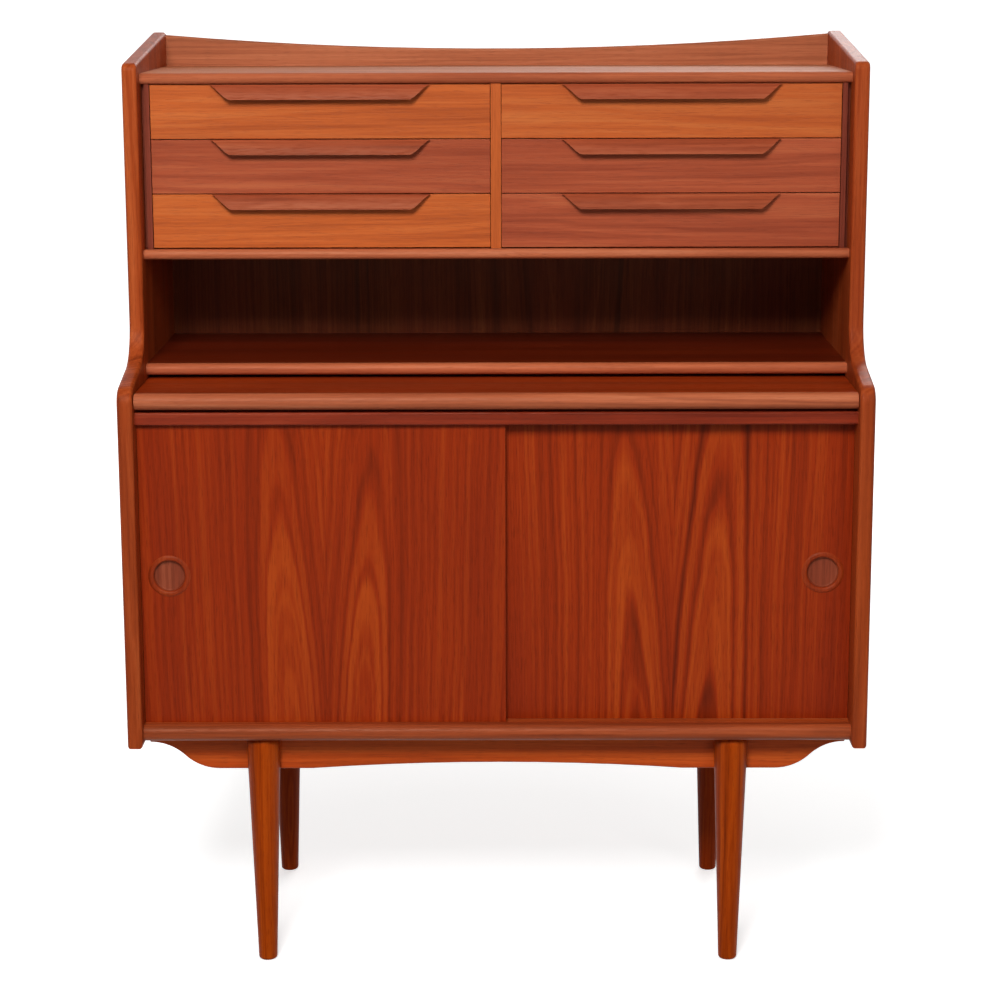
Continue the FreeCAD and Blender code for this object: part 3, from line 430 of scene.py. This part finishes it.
# Darker than the solid wood: painted shade on the linings beside the drawers.
LINING_SHADED = Teak(linear(80, 30, 20), linear(130, 58, 42), linear(156, 82, 62), drift=0.2, rings=0.25)
RIM = Teak(linear(78, 18, 5), linear(146, 48, 14), linear(176, 76, 30), rings=0.3, drift=0.1)
TURNED = Teak(linear(80, 30, 18), linear(136, 60, 38), linear(166, 88, 60), rings=0.4, drift=0.1)
BEECH = Teak(linear(176, 140, 98), linear(206, 172, 128), linear(222, 192, 150),
             redden=linear(190, 150, 108), drift=0.2, rings=0.2, streaks=0.35, pores=0.25, matt=0.55)
PLY = Teak(linear(168, 132, 92), linear(198, 164, 120), linear(216, 186, 144),
           redden=linear(184, 146, 104), drift=0.2, rings=0.45, streaks=0.3, pores=0.2, matt=0.6)
BRASS = Metal(linear(214, 180, 104), linear(150, 116, 60))
STEEL = Metal(linear(176, 174, 170), linear(112, 108, 102), 0.42)


def centre(node: str) -> Vector:
    """The middle of a board of the frame."""
    low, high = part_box(node)
    return (low + high) / 2


def dress(node: bpy.types.Object, material: bpy.types.Material) -> None:
    """Give a board of the frame its material."""
    for slot in node.material_slots:
        slot.material = material
    LOG.info("dressed %s", node.name)


def settle(name: str, mesh: bpy.types.Mesh, material: bpy.types.Material,
           crease: float = 35.0) -> bpy.types.Object:
    """Turn a finished mesh into a smooth-shaded object at the origin.

    Args:
        name: The object's name.
        mesh: The mesh, in the desk's frame.
        material: Its material.
        crease: The angle in degrees from which an edge stays sharp.

    Returns:
        The object.
    """
    mesh.materials.clear()
    mesh.materials.append(material)
    mesh.shade_smooth()
    mesh.set_sharp_from_angle(angle=math.radians(crease))
    item = bpy.data.objects.new(name, mesh)
    bpy.context.scene.collection.objects.link(item)
    return item


def from_bmesh(name: str, shape: bmesh.types.BMesh) -> bpy.types.Mesh:
    """Close a bmesh into a mesh with its faces outward."""
    bmesh.ops.remove_doubles(shape, verts=shape.verts, dist=1e-6)
    bmesh.ops.recalc_face_normals(shape, faces=shape.faces)
    mesh = bpy.data.meshes.new(name)
    shape.to_mesh(mesh)
    shape.free()
    return mesh


def baked(item: bpy.types.Object) -> bpy.types.Object:
    """Apply an object's modifiers to a plain mesh of its own.

    Args:
        item: An object with live modifiers.

    Returns:
        The same object with the result as its mesh and no modifier.
    """
    graph = bpy.context.evaluated_depsgraph_get()
    mesh = bpy.data.meshes.new_from_object(item.evaluated_get(graph), preserve_all_data_layers=True,
                                           depsgraph=graph)
    item.modifiers.clear()
    item.data = mesh
    return item


def soften(item: bpy.types.Object, width: float, segments: int = 2) -> bpy.types.Object:
    """Round an object's sharp edges and apply the result.

    Args:
        item: The object.
        width: Width of the rounding.
        segments: Faces across it.

    Returns:
        The object.
    """
    bevel = item.modifiers.new("Soften", "BEVEL")
    bevel.width = width
    bevel.segments = segments
    bevel.limit_method = "ANGLE"
    bevel.angle_limit = math.radians(38)
    bevel.harden_normals = True
    return baked(item)


@dataclass
class Carcass:
    """The fixed boards: side panels, shelves, backs, uprights and the gallery."""

    nodes: dict[str, bpy.types.Object]
    strip: float = 0.012
    runs: dict[str, tuple[Teak, Cut]] = field(default_factory=dict)
    veneers: dict[str, Teak] = field(default_factory=dict)

    def plan(self) -> None:
        """Choose wood and cut for each board."""
        side = Cut(Axis.UPWARD, Axis.DEPTHWAYS, Axis.SIDEWAYS, (0.05, 0.10), 0.03)
        shelf = Cut(Axis.SIDEWAYS, Axis.DEPTHWAYS, Axis.UPWARD, (0.03, 0.08), 0.02)
        back = Cut(Axis.UPWARD, Axis.SIDEWAYS, Axis.DEPTHWAYS, (0.11, 0.05), 0.05)
        post = Cut(Axis.UPWARD, Axis.DEPTHWAYS, Axis.SIDEWAYS, (0.06, 0.12), 0.02)
        rail = Cut(Axis.SIDEWAYS, Axis.UPWARD, Axis.DEPTHWAYS, (0.05, 0.10), 0.01)
        self.runs = {
            "side_panel_left": (CASE, varied(side, 1)),
            "side_panel_right": (CASE, varied(side, 2)),
            "top_shelf": (replace(SOLID, matt=0.6, sheen=0.16), varied(shelf, 3)),
            "drawer_shelf": (SOLID, varied(shelf, 4)),
            "niche_shelf": (NOSE, varied(shelf, 5)),
            "cabinet_top": (RAIL, varied(shelf, 6)),
            "cabinet_bottom": (SILL, varied(shelf, 7)),
            "bay_lining_left": (LINING_SHADED, varied(post, 8)),
            "bay_lining_right": (LINING_SHADED, varied(post, 9)),
            "drawer_divider": (DRAWER, varied(post, 10)),
            "gallery_board": (GALLERY, varied(rail, 11)),
            "upper_back": (BACK, varied(back, 12)),
            "lower_back": (BACK, varied(back, 13)),
            "drawer_runners": (BEECH, varied(rail, 14)),
            "leaf_guides": (NICHE_SHADED, varied(shelf, 15)),
        }
        self.veneers = {"top_shelf": TRAY, "drawer_shelf": NICHE_SHADED, "niche_shelf": NICHE_SHADED,
                        "cabinet_bottom": CASE, "side_panel_left": CASE, "side_panel_right": CASE}

    def dress(self) -> None:
        """Put each board's wood on it."""
        for name, (wood, cut) in self.runs.items():
            strip_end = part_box(name)[0].y + self.strip
            dress(self.nodes[name], wood.material(f"wood_{name}", cut, centre(name), self.veneers.get(name),
                                                  strip_end))


def varied(cut: Cut, seed: int) -> Cut:
    """The same cut from another place of the log."""
    return Cut(cut.along, cut.across, cut.through,
               (cut.heart[0] + 0.013 * math.sin(2.1 * seed), cut.heart[1] + 0.02 * math.cos(3.7 * seed)),
               cut.climb * (1 if seed % 2 else -1), cut.stray, cut.matched, cut.arm, seed)


@dataclass
class LipHandle:
    """A handle glued along the top of a drawer front: a bowed face, a finger hollow and cut-back ends."""

    half_top: float
    half_low: float
    rise: float
    reach: float
    top_reach: float = 0.005
    edge: float = 0.0035
    root: float = 0.008
    bow: float = 0.046
    scoop: float = 0.013
    stations: int = 14
    steps: int = 10

    def arc(self, start: tuple[float, float], end: tuple[float, float], radius: float,
            side: int, height: float) -> float:
        """Depth of an arc between two points of the section, at a height.

        Args:
            start: Depth and height of its lower point.
            end: Depth and height of its upper point.
            radius: The arc's radius.
            side: 1 where it bulges to the back, -1 to the front.
            height: Where it is read.

        Returns:
            The depth.
        """
        chord = Vector((end[0] - start[0], end[1] - start[1]))
        middle = Vector(((start[0] + end[0]) / 2, (start[1] + end[1]) / 2))
        normal = Vector((chord.y, -chord.x)).normalized()
        hub = middle - normal * side * math.sqrt(radius ** 2 - (chord.length / 2) ** 2)
        return hub.x + side * math.sqrt(max(radius ** 2 - (height - hub.y) ** 2, 0.0))

    def front(self, height: float) -> float:
        """Depth of the bowed face at a height below the top edge."""
        return self.arc((-self.reach, -self.rise), (-self.top_reach, 0.0), self.bow, -1, height)

    def rear(self, height: float) -> float:
        """Depth of the back: flat where it is glued on, hollowed for the fingers below that."""
        if height > -self.root:
            return 0.0
        return self.arc((self.edge - self.reach, -self.rise), (0.0, -self.root), self.scoop, -1, height)

    def lowest(self, x: float) -> float:
        """Height of the lower edge at a place along the handle."""
        share = (self.half_top - abs(x)) / (self.half_top - self.half_low)
        share = min(max(share, 0.0), 1.0)
        ease = share * share * (3 - 2 * share)
        return -self.rise * max(0.7 * share + 0.3 * ease, 0.03)

    def section(self, x: float) -> list[tuple[float, float]]:
        """Outline of the handle at a place along it, as depths and heights."""
        low = self.lowest(x)
        down = [low * step / self.steps for step in range(self.steps + 1)]
        return [(self.front(z), z) for z in down] + [(self.rear(z), z) for z in reversed(down)]

    def build(self, name: str, corner: Point, wood: bpy.types.Material) -> bpy.types.Object:
        """Loft the handle's sections into one closed piece.

        Args:
            name: The piece's name.
            corner: Middle of its top edge where it meets the drawer front.
            wood: Its material.

        Returns:
            The piece.
        """
        ends = [self.half_low + (self.half_top - self.half_low) * step / self.stations
                for step in range(self.stations + 1)]
        places = [-x for x in reversed(ends)] + [-self.half_low / 2, 0.0, self.half_low / 2] + ends
        shape = bmesh.new()
        loops = [[shape.verts.new((corner[0] + x, corner[1] + y, corner[2] + z))
                  for y, z in self.section(x)] for x in places]
        count = len(loops[0])
        for before, after in zip(loops, loops[1:]):
            for index in range(count):
                following = (index + 1) % count
                shape.faces.new((before[index], before[following], after[following], after[index]))
        for loop in (loops[0], loops[-1]):
            shape.faces.new(loop)
        piece = settle(name, from_bmesh(name, shape), wood)
        return soften(piece, 0.0012)


@dataclass
class DrawerBank:
    """Six drawers: fronts, handles, boxes and bottoms."""

    nodes: dict[str, bpy.types.Object]
    sides: tuple[str, str] = ("left", "right")
    tiers: tuple[str, str, str] = ("bottom", "middle", "top")
    half_short: float = 0.120
    redder: tuple[str, ...] = ("drawer_left_middle", "drawer_right_middle", "drawer_right_bottom")

    def dress(self) -> None:
        """Dress fronts, boxes and bottoms, and replace the handles."""
        seed = 20
        for side in self.sides:
            for tier in self.tiers:
                name = f"drawer_{side}_{tier}"
                seed += 1
                wood = DRAWER_RED if name in self.redder else DRAWER
                face = varied(Cut(heart=(0.05, 0.11), climb=0.02), seed)
                dress(self.nodes[f"{name}_front"],
                      wood.material(f"wood_{name}", face, centre(f"{name}_front")))
                box = varied(Cut(Axis.DEPTHWAYS, Axis.UPWARD, Axis.SIDEWAYS), seed + 30)
                dress(self.nodes[f"{name}_box"], BEECH.material(f"beech_{name}", box, centre(f"{name}_box")))
                floor = varied(Cut(Axis.SIDEWAYS, Axis.DEPTHWAYS, Axis.UPWARD, (0.02, 0.05), 0.03), seed + 60)
                dress(self.nodes[f"{name}_bottom"],
                      PLY.material(f"ply_{name}", floor, centre(f"{name}_bottom")))
                self.handle(name, seed + 90)

    def handle(self, name: str, seed: int) -> None:
        """Replace a drawer's handle.

        Args:
            name: The drawer's name.
            seed: Picks the handle's wood.
        """
        node = f"{name}_handle"
        low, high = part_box(node)
        lip = LipHandle((high.x - low.x) / 2, self.half_short, high.z - low.z, high.y - low.y)
        wood = LIP.material(f"wood_{node}", varied(Cut(heart=(0.02, 0.06), climb=0.01), seed), centre(node))
        piece = lip.build(f"{name}_lip", ((low.x + high.x) / 2, high.y, high.z), wood)
        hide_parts(node)
        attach(piece, name)
        LOG.info("built %s", piece.name)


@dataclass
class CupPull:
    """A turned pull: a crowned rim round a dished finger cup."""

    rim: float = 0.028
    hollow: float = 0.0205
    cup: float = 0.023
    proud: float = 0.0016
    floor: float = 0.005
    depth: float = 0.007
    fillet: float = 0.0022
    segments: int = 96

    def profile(self) -> list[tuple[float, float]]:
        """Radius and depth of the turned outline, from the middle of the floor round to the back."""
        points = [(0.0, self.floor), (self.hollow * 0.45, self.floor)]
        hub = (self.hollow - self.fillet, self.floor - self.fillet)
        points += [(hub[0] + self.fillet * math.sin(turn), hub[1] + self.fillet * math.cos(turn))
                   for turn in (math.pi / 2 * step / 5 for step in range(6))]
        points.append((self.hollow, 0.0006))
        for step in range(1, 10):
            share = step / 10
            crown = self.proud * math.sin(math.pi * share) ** 0.75
            points.append((self.hollow + (self.rim - self.hollow) * share, -crown))
        points += [(self.rim, 0.0), (self.cup, 0.0), (self.cup, self.depth), (0.0, self.depth)]
        return points

    def build(self, name: str, middle: Point, wood: bpy.types.Material) -> bpy.types.Object:
        """Spin the outline round its middle.

        Args:
            name: The piece's name.
            middle: Middle of the rim on the door's face.
            wood: Its material.

        Returns:
            The piece.
        """
        shape = bmesh.new()
        rings = []
        for radius, depth in self.profile():
            if radius == 0.0:
                rings.append([shape.verts.new((middle[0], middle[1] + depth, middle[2]))])
                continue
            rings.append([shape.verts.new((middle[0] + radius * math.cos(turn), middle[1] + depth,
                                           middle[2] + radius * math.sin(turn)))
                          for turn in (2 * math.pi * step / self.segments for step in range(self.segments))])
        for before, after in zip(rings, rings[1:]):
            for index in range(self.segments):
                following = (index + 1) % self.segments
                corners = {before[index % len(before)], before[following % len(before)],
                           after[index % len(after)], after[following % len(after)]}
                loop = [before[index % len(before)], before[following % len(before)],
                        after[following % len(after)], after[index % len(after)]]
                shape.faces.new([vert for place, vert in enumerate(loop) if vert not in loop[:place]]
                                if len(corners) < 4 else loop)
        return settle(name, from_bmesh(name, shape), wood, 50.0)


@dataclass
class SlidingDoors:
    """Two doors veneered with matched leaves, each with a turned pull."""

    nodes: dict[str, bpy.types.Object]
    seam: dict[str, float] = field(default_factory=lambda: {"left": 0.003, "right": 0.005})
    flame: float = 0.048
    arm: float = 0.060

    def dress(self) -> None:
        """Dress the doors and replace their pulls."""
        for seed, side in enumerate(("left", "right"), start=200):
            node = f"door_{side}"
            low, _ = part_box(node)
            origin = centre(node) + Vector((self.seam[side], 0.0, 0.0))
            origin.z = low.z
            cut = Cut(Axis.UPWARD, Axis.SIDEWAYS, Axis.DEPTHWAYS, (self.flame, 0.020), 0.066, 0.046, True,
                      self.arm, seed)
            dress(self.nodes[node], DOOR.material(f"wood_{node}", cut, origin))
            self.pull(side, seed + 10)

    def pull(self, side: str, seed: int) -> None:
        """Replace a door's pull.

        Args:
            side: Which door.
            seed: Picks the pull's wood.
        """
        node = f"pull_{side}"
        low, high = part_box(node)
        cup = CupPull(rim=(high.x - low.x) / 2)
        face = high.y - cup.depth
        cut = varied(Cut(Axis.UPWARD, Axis.SIDEWAYS, Axis.DEPTHWAYS, (0.01, 0.03), 0.02), seed)
        # The dark line between rim and cup wood is painted shade inside the cup wall.
        wood = RIM.material(f"wood_{node}", cut, centre(node), TURNED, face + cup.floor / 2)
        piece = cup.build(f"{node}_cup", ((low.x + high.x) / 2, face, (low.z + high.z) / 2), wood)
        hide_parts(node)
        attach(piece, f"sliding_door_{side}")
        LOG.info("built %s", piece.name)


@dataclass
class WritingLeaf:
    """The sliding leaf with its solid front edge and its stops."""

    nodes: dict[str, bpy.types.Object]

    def dress(self) -> None:
        """Dress the leaf's boards."""
        shelf = Cut(Axis.SIDEWAYS, Axis.DEPTHWAYS, Axis.UPWARD, (0.03, 0.07), 0.03)
        for seed, (name, wood) in enumerate((("writing_leaf", LEAF), ("leaf_lipping", SOLID),
                                             ("leaf_stops", BEECH)), start=230):
            dress(self.nodes[name], wood.material(f"wood_{name}", varied(shelf, seed), centre(name)))


@dataclass
class Cabinet:
    """What stands behind the doors: partition, shelves and their pins."""

    nodes: dict[str, bpy.types.Object]

    def dress(self) -> None:
        """Dress the partition, the shelves and the pins."""
        upright = Cut(Axis.UPWARD, Axis.DEPTHWAYS, Axis.SIDEWAYS, (0.05, 0.1), 0.03)
        shelf = Cut(Axis.SIDEWAYS, Axis.DEPTHWAYS, Axis.UPWARD, (0.03, 0.08), 0.02)
        for seed, (name, cut) in enumerate((("cabinet_partition", upright), ("cabinet_shelf_left", shelf),
                                            ("cabinet_shelf_right", shelf)), start=240):
            dress(self.nodes[name], CASE.material(f"wood_{name}", varied(cut, seed), centre(name)))
        dress(self.nodes["shelf_pins"], BRASS.material("brass_pins"))


@dataclass
class Base:
    """Aprons, stretchers and the four tapered legs."""

    nodes: dict[str, bpy.types.Object]

    def dress(self) -> None:
        """Dress the base."""
        rail = Cut(Axis.SIDEWAYS, Axis.UPWARD, Axis.DEPTHWAYS, (0.04, 0.09), 0.012)
        post = Cut(Axis.UPWARD, Axis.SIDEWAYS, Axis.DEPTHWAYS, (0.012, 0.03), 0.05)
        bar = Cut(Axis.DEPTHWAYS, Axis.UPWARD, Axis.SIDEWAYS)
        plan = [(f"apron_{end}", BASE, rail) for end in ("front", "rear")]
        plan += [(f"leg_{end}_{side}", wood, post) for end, wood in (("front", LEG), ("rear", LEG_REAR_SHADED))
                 for side in ("left", "right")]
        plan += [(f"stretcher_{side}", BEECH, bar) for side in ("left", "right")]
        for seed, (name, wood, cut) in enumerate(plan, start=250):
            dress(self.nodes[name], wood.material(f"wood_{name}", varied(cut, seed), centre(name)))


@dataclass(frozen=True)
class ScrewPlace:
    """Where a screw's head lies and which way it faces."""

    head: Point
    facing: Point


@dataclass
class Screws:
    """Slotted countersunk screws, set out along rows by one Geometry Nodes tree."""

    head: float = 0.004
    shank: float = 0.002
    slot_width: float = 0.0011
    slot_depth: float = 0.0009
    per_row: int = 5
    back_length: float = 0.025
    leg_length: float = 0.040
    base_length: float = 0.056
    leg_drops: tuple[float, float] = (0.014, 0.036)
    base_inset: float = 0.040

    def tree(self, material: bpy.types.Material) -> bpy.types.NodeTree:
        """Build the tree: one screw on each point, turned to face its own way, its slot at random.

        Args:
            material: The screws' metal.

        Returns:
            The tree, with named inputs for the screw's sizes.
        """
        tree = bpy.data.node_groups.new("slotted_screws", "GeometryNodeTree")
        tree.interface.new_socket("Geometry", in_out="INPUT", socket_type="NodeSocketGeometry")
        for name in ("Head radius", "Shank radius", "Length", "Slot width", "Slot depth"):
            tree.interface.new_socket(name, in_out="INPUT", socket_type="NodeSocketFloat")
        tree.interface.new_socket("Seed", in_out="INPUT", socket_type="NodeSocketInt")
        tree.interface.new_socket("Geometry", in_out="OUTPUT", socket_type="NodeSocketGeometry")
        graph = Graph(tree)
        given = tree.nodes.new("NodeGroupInput").outputs
        sink = graph.math("SUBTRACT", given["Head radius"], given["Shank radius"])
        cone = graph.add("GeometryNodeMeshCone", {"Vertices": 32, "Radius Top": given["Head radius"],
                                                  "Radius Bottom": given["Shank radius"], "Depth": sink})
        lowered = graph.add("ShaderNodeCombineXYZ", {2: graph.math("MULTIPLY", sink, -1.0)}).outputs[0]
        cone = graph.add("GeometryNodeTransform", {"Geometry": cone.outputs[0], "Translation": lowered})
        size = graph.add("ShaderNodeCombineXYZ", {0: graph.math("MULTIPLY", given["Head radius"], 3.0),
                                                  1: given["Slot width"],
                                                  2: graph.math("MULTIPLY", given["Slot depth"], 2.0)})
        blade = graph.add("GeometryNodeMeshCube", {"Size": size.outputs[0]})
        head = graph.add("GeometryNodeMeshBoolean", {0: cone.outputs[0], 1: blade.outputs[0]},
                         operation="DIFFERENCE")
        shaft = graph.math("SUBTRACT", given["Length"], sink)
        rod = graph.add("GeometryNodeMeshCylinder", {"Vertices": 20, "Radius": given["Shank radius"],
                                                     "Depth": shaft})
        drop = graph.math("MULTIPLY_ADD", shaft, -0.5, graph.math("MULTIPLY", sink, -1.0))
        drop = graph.add("ShaderNodeCombineXYZ", {2: drop}).outputs[0]
        rod = graph.add("GeometryNodeTransform", {"Geometry": rod.outputs[0], "Translation": drop})
        screw = graph.add("GeometryNodeJoinGeometry", {0: head.outputs[0]})
        tree.links.new(rod.outputs[0], screw.inputs[0])
        facing = graph.add("GeometryNodeInputNamedAttribute", {"Name": "facing"}, data_type="FLOAT_VECTOR")
        aim = graph.add("FunctionNodeAlignRotationToVector", {"Vector": facing.outputs[0]}, axis="Z")
        spin = graph.add("FunctionNodeRandomValue", {"Seed": given["Seed"], 2: 0.0, 3: math.pi},
                         data_type="FLOAT")
        turn = graph.add("FunctionNodeAxisAngleToRotation", {"Axis": (0.0, 0.0, 1.0),
                                                             "Angle": spin.outputs[1]})
        both = graph.add("FunctionNodeRotateRotation", {0: aim.outputs[0], 1: turn.outputs[0]},
                         rotation_space="LOCAL")
        placed = graph.add("GeometryNodeInstanceOnPoints", {"Points": given["Geometry"],
                                                            "Instance": screw.outputs[0],
                                                            "Rotation": both.outputs[0]})
        real = graph.add("GeometryNodeRealizeInstances", {0: placed.outputs[0]})
        metal = graph.add("GeometryNodeSetMaterial", {"Geometry": real.outputs[0], "Material": material})
        out = tree.nodes.new("NodeGroupOutput")
        tree.links.new(metal.outputs[0], out.inputs[0])
        return tree

    def rows(self) -> dict[str, dict[float, list[ScrewPlace]]]:
        """Places of the screws for each node of the frame, by screw length."""
        low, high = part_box("back_screws")
        reach = high.x - self.head
        levels = [centre(name).z for name in ("top_shelf", "drawer_shelf", "niche_shelf", "cabinet_top",
                                              "cabinet_bottom")]
        across = [reach * (2 * step / (self.per_row - 1) - 1) for step in range(self.per_row)]
        backs = [ScrewPlace((x, high.y, z), (0.0, 1.0, 0.0)) for z in levels for x in across]
        legs, bases = [], []
        for sign, end in ((-1.0, "front"), (1.0, "rear")):
            apron_low, apron_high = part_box(f"apron_{end}")
            inner = apron_high.y if sign < 0 else apron_low.y
            for side in ("left", "right"):
                leg = centre(f"leg_{end}_{side}")
                legs += [ScrewPlace((leg.x, inner, apron_high.z - drop), (0.0, -sign, 0.0))
                         for drop in self.leg_drops]
                bar_low, bar_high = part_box(f"stretcher_{side}")
                along = bar_low.y + self.base_inset if sign < 0 else bar_high.y - self.base_inset
                bases.append(ScrewPlace(((bar_low.x + bar_high.x) / 2, along, bar_low.z), (0.0, 0.0, -1.0)))
        return {"back_screws": {self.back_length: backs},
                "frame_screws": {self.leg_length: legs, self.base_length: bases}}

    def build(self) -> None:
        """Set the screws and put them in place of the frame's plain ones."""
        tree = self.tree(STEEL.material("steel_screws"))
        for node, lengths in self.rows().items():
            pieces = [self.set_row(f"{node}_{index}", tree, places, length, index)
                      for index, (length, places) in enumerate(lengths.items())]
            for piece in pieces:
                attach(piece, "carcass")
                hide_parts(node)
                LOG.info("built %s", piece.name)

    def set_row(self, name: str, tree: bpy.types.NodeTree, places: Sequence[ScrewPlace], length: float,
                seed: int) -> bpy.types.Object:
        """Set screws of one length.

        Args:
            name: The piece's name.
            tree: The tree that sets them.
            places: Where they go.
            length: Their length.
            seed: Picks how their slots lie.

        Returns:
            The piece, as a plain mesh.
        """
        mesh = bpy.data.meshes.new(name)
        mesh.from_pydata([place.head for place in places], [], [])
        ways = mesh.attributes.new("facing", "FLOAT_VECTOR", "POINT")
        ways.data.foreach_set("vector", [value for place in places for value in place.facing])
        item = bpy.data.objects.new(name, mesh)
        bpy.context.scene.collection.objects.link(item)
        modifier = item.modifiers.new("Screws", "NODES")
        modifier.node_group = tree
        sizes = {"Head radius": self.head, "Shank radius": self.shank, "Length": length,
                 "Slot width": self.slot_width, "Slot depth": self.slot_depth, "Seed": seed}
        for socket in tree.interface.items_tree:
            if socket.item_type == "SOCKET" and socket.in_out == "INPUT" and socket.name in sizes:
                modifier[socket.identifier] = sizes[socket.name]
        return baked(item)


@dataclass
class Studio:
    """A pale sweep of floor and wall, soft lights and the camera."""

    camera_at: Point = (0.0173, -3.2228, 1.3254)
    pitch: float = 0.1918
    turn: float = -0.0053
    tilt: float = -0.0028
    lens: float = 85.99
    shift: float = -0.0654
    wall_at: float = 7.5
    sweep: float = 2.0
    sweep_steps: int = 16
    wall_top: float = 7.0
    segments: int = 48
    glow_reach: tuple[float, float] = (0.5, 2.6)
    glow: tuple[float, float] = (0.55, 1.0)
    ambient: float = 0.17

    def build(self) -> None:
        """Make the sweep, the lights and the camera."""
        self.floor()
        self.light("key", (-0.5, -3.0, 2.75), (0.0, 0.0, 0.75), 1.0, 102.0)
        self.light("rear", (0.8, 3.2, 3.0), (0.0, 0.0, 0.7), 1.6, 44.0)
        self.light("fill", (2.2, -3.2, 2.0), (0.0, 0.0, 0.7), 1.6, 14.0)
        world = bpy.data.worlds.new("studio")
        world.use_nodes = True
        world.node_tree.nodes["Background"].inputs["Color"].default_value = (1.0, 0.99, 0.97, 1.0)
        world.node_tree.nodes["Background"].inputs["Strength"].default_value = self.ambient
        bpy.context.scene.world = world
        bpy.context.scene.view_settings.view_transform = "Standard"
        self.camera()

    def floor(self) -> None:
        """A round floor whose rim sweeps up into a wall, so that every side has a pale ground."""
        line = [(0.0, 0.0), (self.wall_at - self.sweep, 0.0)]
        turns = [math.pi / 2 * step / self.sweep_steps for step in range(1, self.sweep_steps + 1)]
        line += [(self.wall_at - self.sweep + self.sweep * math.sin(turn), self.sweep * (1 - math.cos(turn)))
                 for turn in turns]
        line.append((self.wall_at, self.wall_top))
        material, graph, shader = new_material("pale_floor")
        place = graph.add("ShaderNodeTexCoord").outputs["Object"]
        speck = graph.noise(graph.stretch(place, (3.0, 3.0, 3.0)), detail=2.0)
        colour = graph.mix(speck, (0.90, 0.90, 0.895), (0.93, 0.93, 0.93))
        away = graph.add("ShaderNodeVectorMath", {0: place}, operation="LENGTH").outputs["Value"]
        glow = graph.spread(away, *self.glow_reach, *self.glow)
        graph.tree.links.new(colour, shader.inputs["Base Color"])
        graph.tree.links.new(glow, shader.inputs["Emission Strength"])
        shader.inputs["Roughness"].default_value = 0.8
        shader.inputs["Emission Color"].default_value = (1.0, 1.0, 1.0, 1.0)
        self.turned("sweep_rear", line, 0.0, math.pi, material)
        self.turned("floor_front", line[:2], math.pi, 2 * math.pi, material)
        front = self.turned("wall_front", line[1:], math.pi, 2 * math.pi, material)
        front.visible_glossy = False

    def turned(self, name: str, line: Sequence[tuple[float, float]], start: float, end: float,
               material: bpy.types.Material) -> bpy.types.Object:
        """Turn part of the floor's outline round the middle.

        Args:
            name: The piece's name.
            line: Distances from the middle with their heights.
            start: Angle where the turn starts.
            end: Angle where it ends.
            material: The floor's material.

        Returns:
            The piece, unseen by diffuse rays.
        """
        turns = [start + (end - start) * step / self.segments for step in range(self.segments + 1)]
        verts = [(r * math.cos(turn), r * math.sin(turn), z) for r, z in line for turn in turns]
        wide = len(turns)
        faces = [(low + step, low + step + 1, low + wide + step + 1, low + wide + step)
                 for low in range(0, (len(line) - 1) * wide, wide) for step in range(self.segments)]
        mesh = bpy.data.meshes.new(name)
        mesh.from_pydata(verts, [], faces)
        piece = settle(name, mesh, material)
        piece.visible_diffuse = False
        return piece

    def light(self, name: str, place: Point, target: Point, size: float, power: float) -> None:
        """Hang a soft square light.

        Args:
            name: The light's name.
            place: Where it hangs.
            target: What it points at.
            size: Length of its side.
            power: Its strength in watts.
        """
        lamp = bpy.data.lights.new(name, "AREA")
        lamp.size = size
        lamp.energy = power
        item = bpy.data.objects.new(name, lamp)
        item.visible_camera = False
        item.location = place
        item.rotation_euler = (Vector(target) - Vector(place)).to_track_quat("-Z", "Y").to_euler()
        bpy.context.scene.collection.objects.link(item)

    def camera(self) -> None:
        """Stand the camera in front of the desk, level with its top and looking slightly down."""
        right = Vector((math.cos(self.turn), -math.sin(self.turn), 0.0))
        ahead = Vector((math.sin(self.turn), math.cos(self.turn), 0.0))
        up = ahead * math.sin(self.pitch) + Vector((0.0, 0.0, math.cos(self.pitch)))
        back = Vector((0.0, 0.0, math.sin(self.pitch))) - ahead * math.cos(self.pitch)
        side = right * math.cos(self.tilt) + up * math.sin(self.tilt)
        crown = up * math.cos(self.tilt) - right * math.sin(self.tilt)
        pose = Matrix((side, crown, back)).transposed().to_4x4()
        pose.translation = Vector(self.camera_at)
        lens = bpy.data.cameras.new("camera")
        lens.lens = self.lens
        lens.sensor_width = 36.0
        lens.shift_y = self.shift
        item = bpy.data.objects.new("camera", lens)
        item.matrix_world = pose
        bpy.context.scene.collection.objects.link(item)
        bpy.context.scene.camera = item


def main(nodes: dict[str, bpy.types.Object]) -> None:
    """Build and dress every sub-assembly in order.

    Args:
        nodes: The frame's boards by name.
    """
    Studio().build()
    carcass = Carcass(nodes)
    carcass.plan()
    steps: list[tuple[str, Callable[[], None]]] = [
        ("carcass", carcass.dress),
        ("drawers", DrawerBank(nodes).dress),
        ("doors", SlidingDoors(nodes).dress),
        ("leaf", WritingLeaf(nodes).dress),
        ("cabinet", Cabinet(nodes).dress),
        ("base", Base(nodes).dress),
        ("screws", Screws().build),
    ]
    for name, step in steps:
        LOG.info("making %s", name)
        step()


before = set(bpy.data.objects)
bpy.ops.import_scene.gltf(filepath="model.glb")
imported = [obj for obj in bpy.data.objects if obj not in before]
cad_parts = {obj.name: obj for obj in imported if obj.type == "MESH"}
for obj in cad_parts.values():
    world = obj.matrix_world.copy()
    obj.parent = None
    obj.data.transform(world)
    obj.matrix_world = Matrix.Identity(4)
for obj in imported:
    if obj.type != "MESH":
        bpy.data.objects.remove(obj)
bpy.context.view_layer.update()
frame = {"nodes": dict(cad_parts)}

if __name__ == "__main__":
    logging.basicConfig(level=logging.INFO, format="%(message)s")
    main(frame["nodes"])
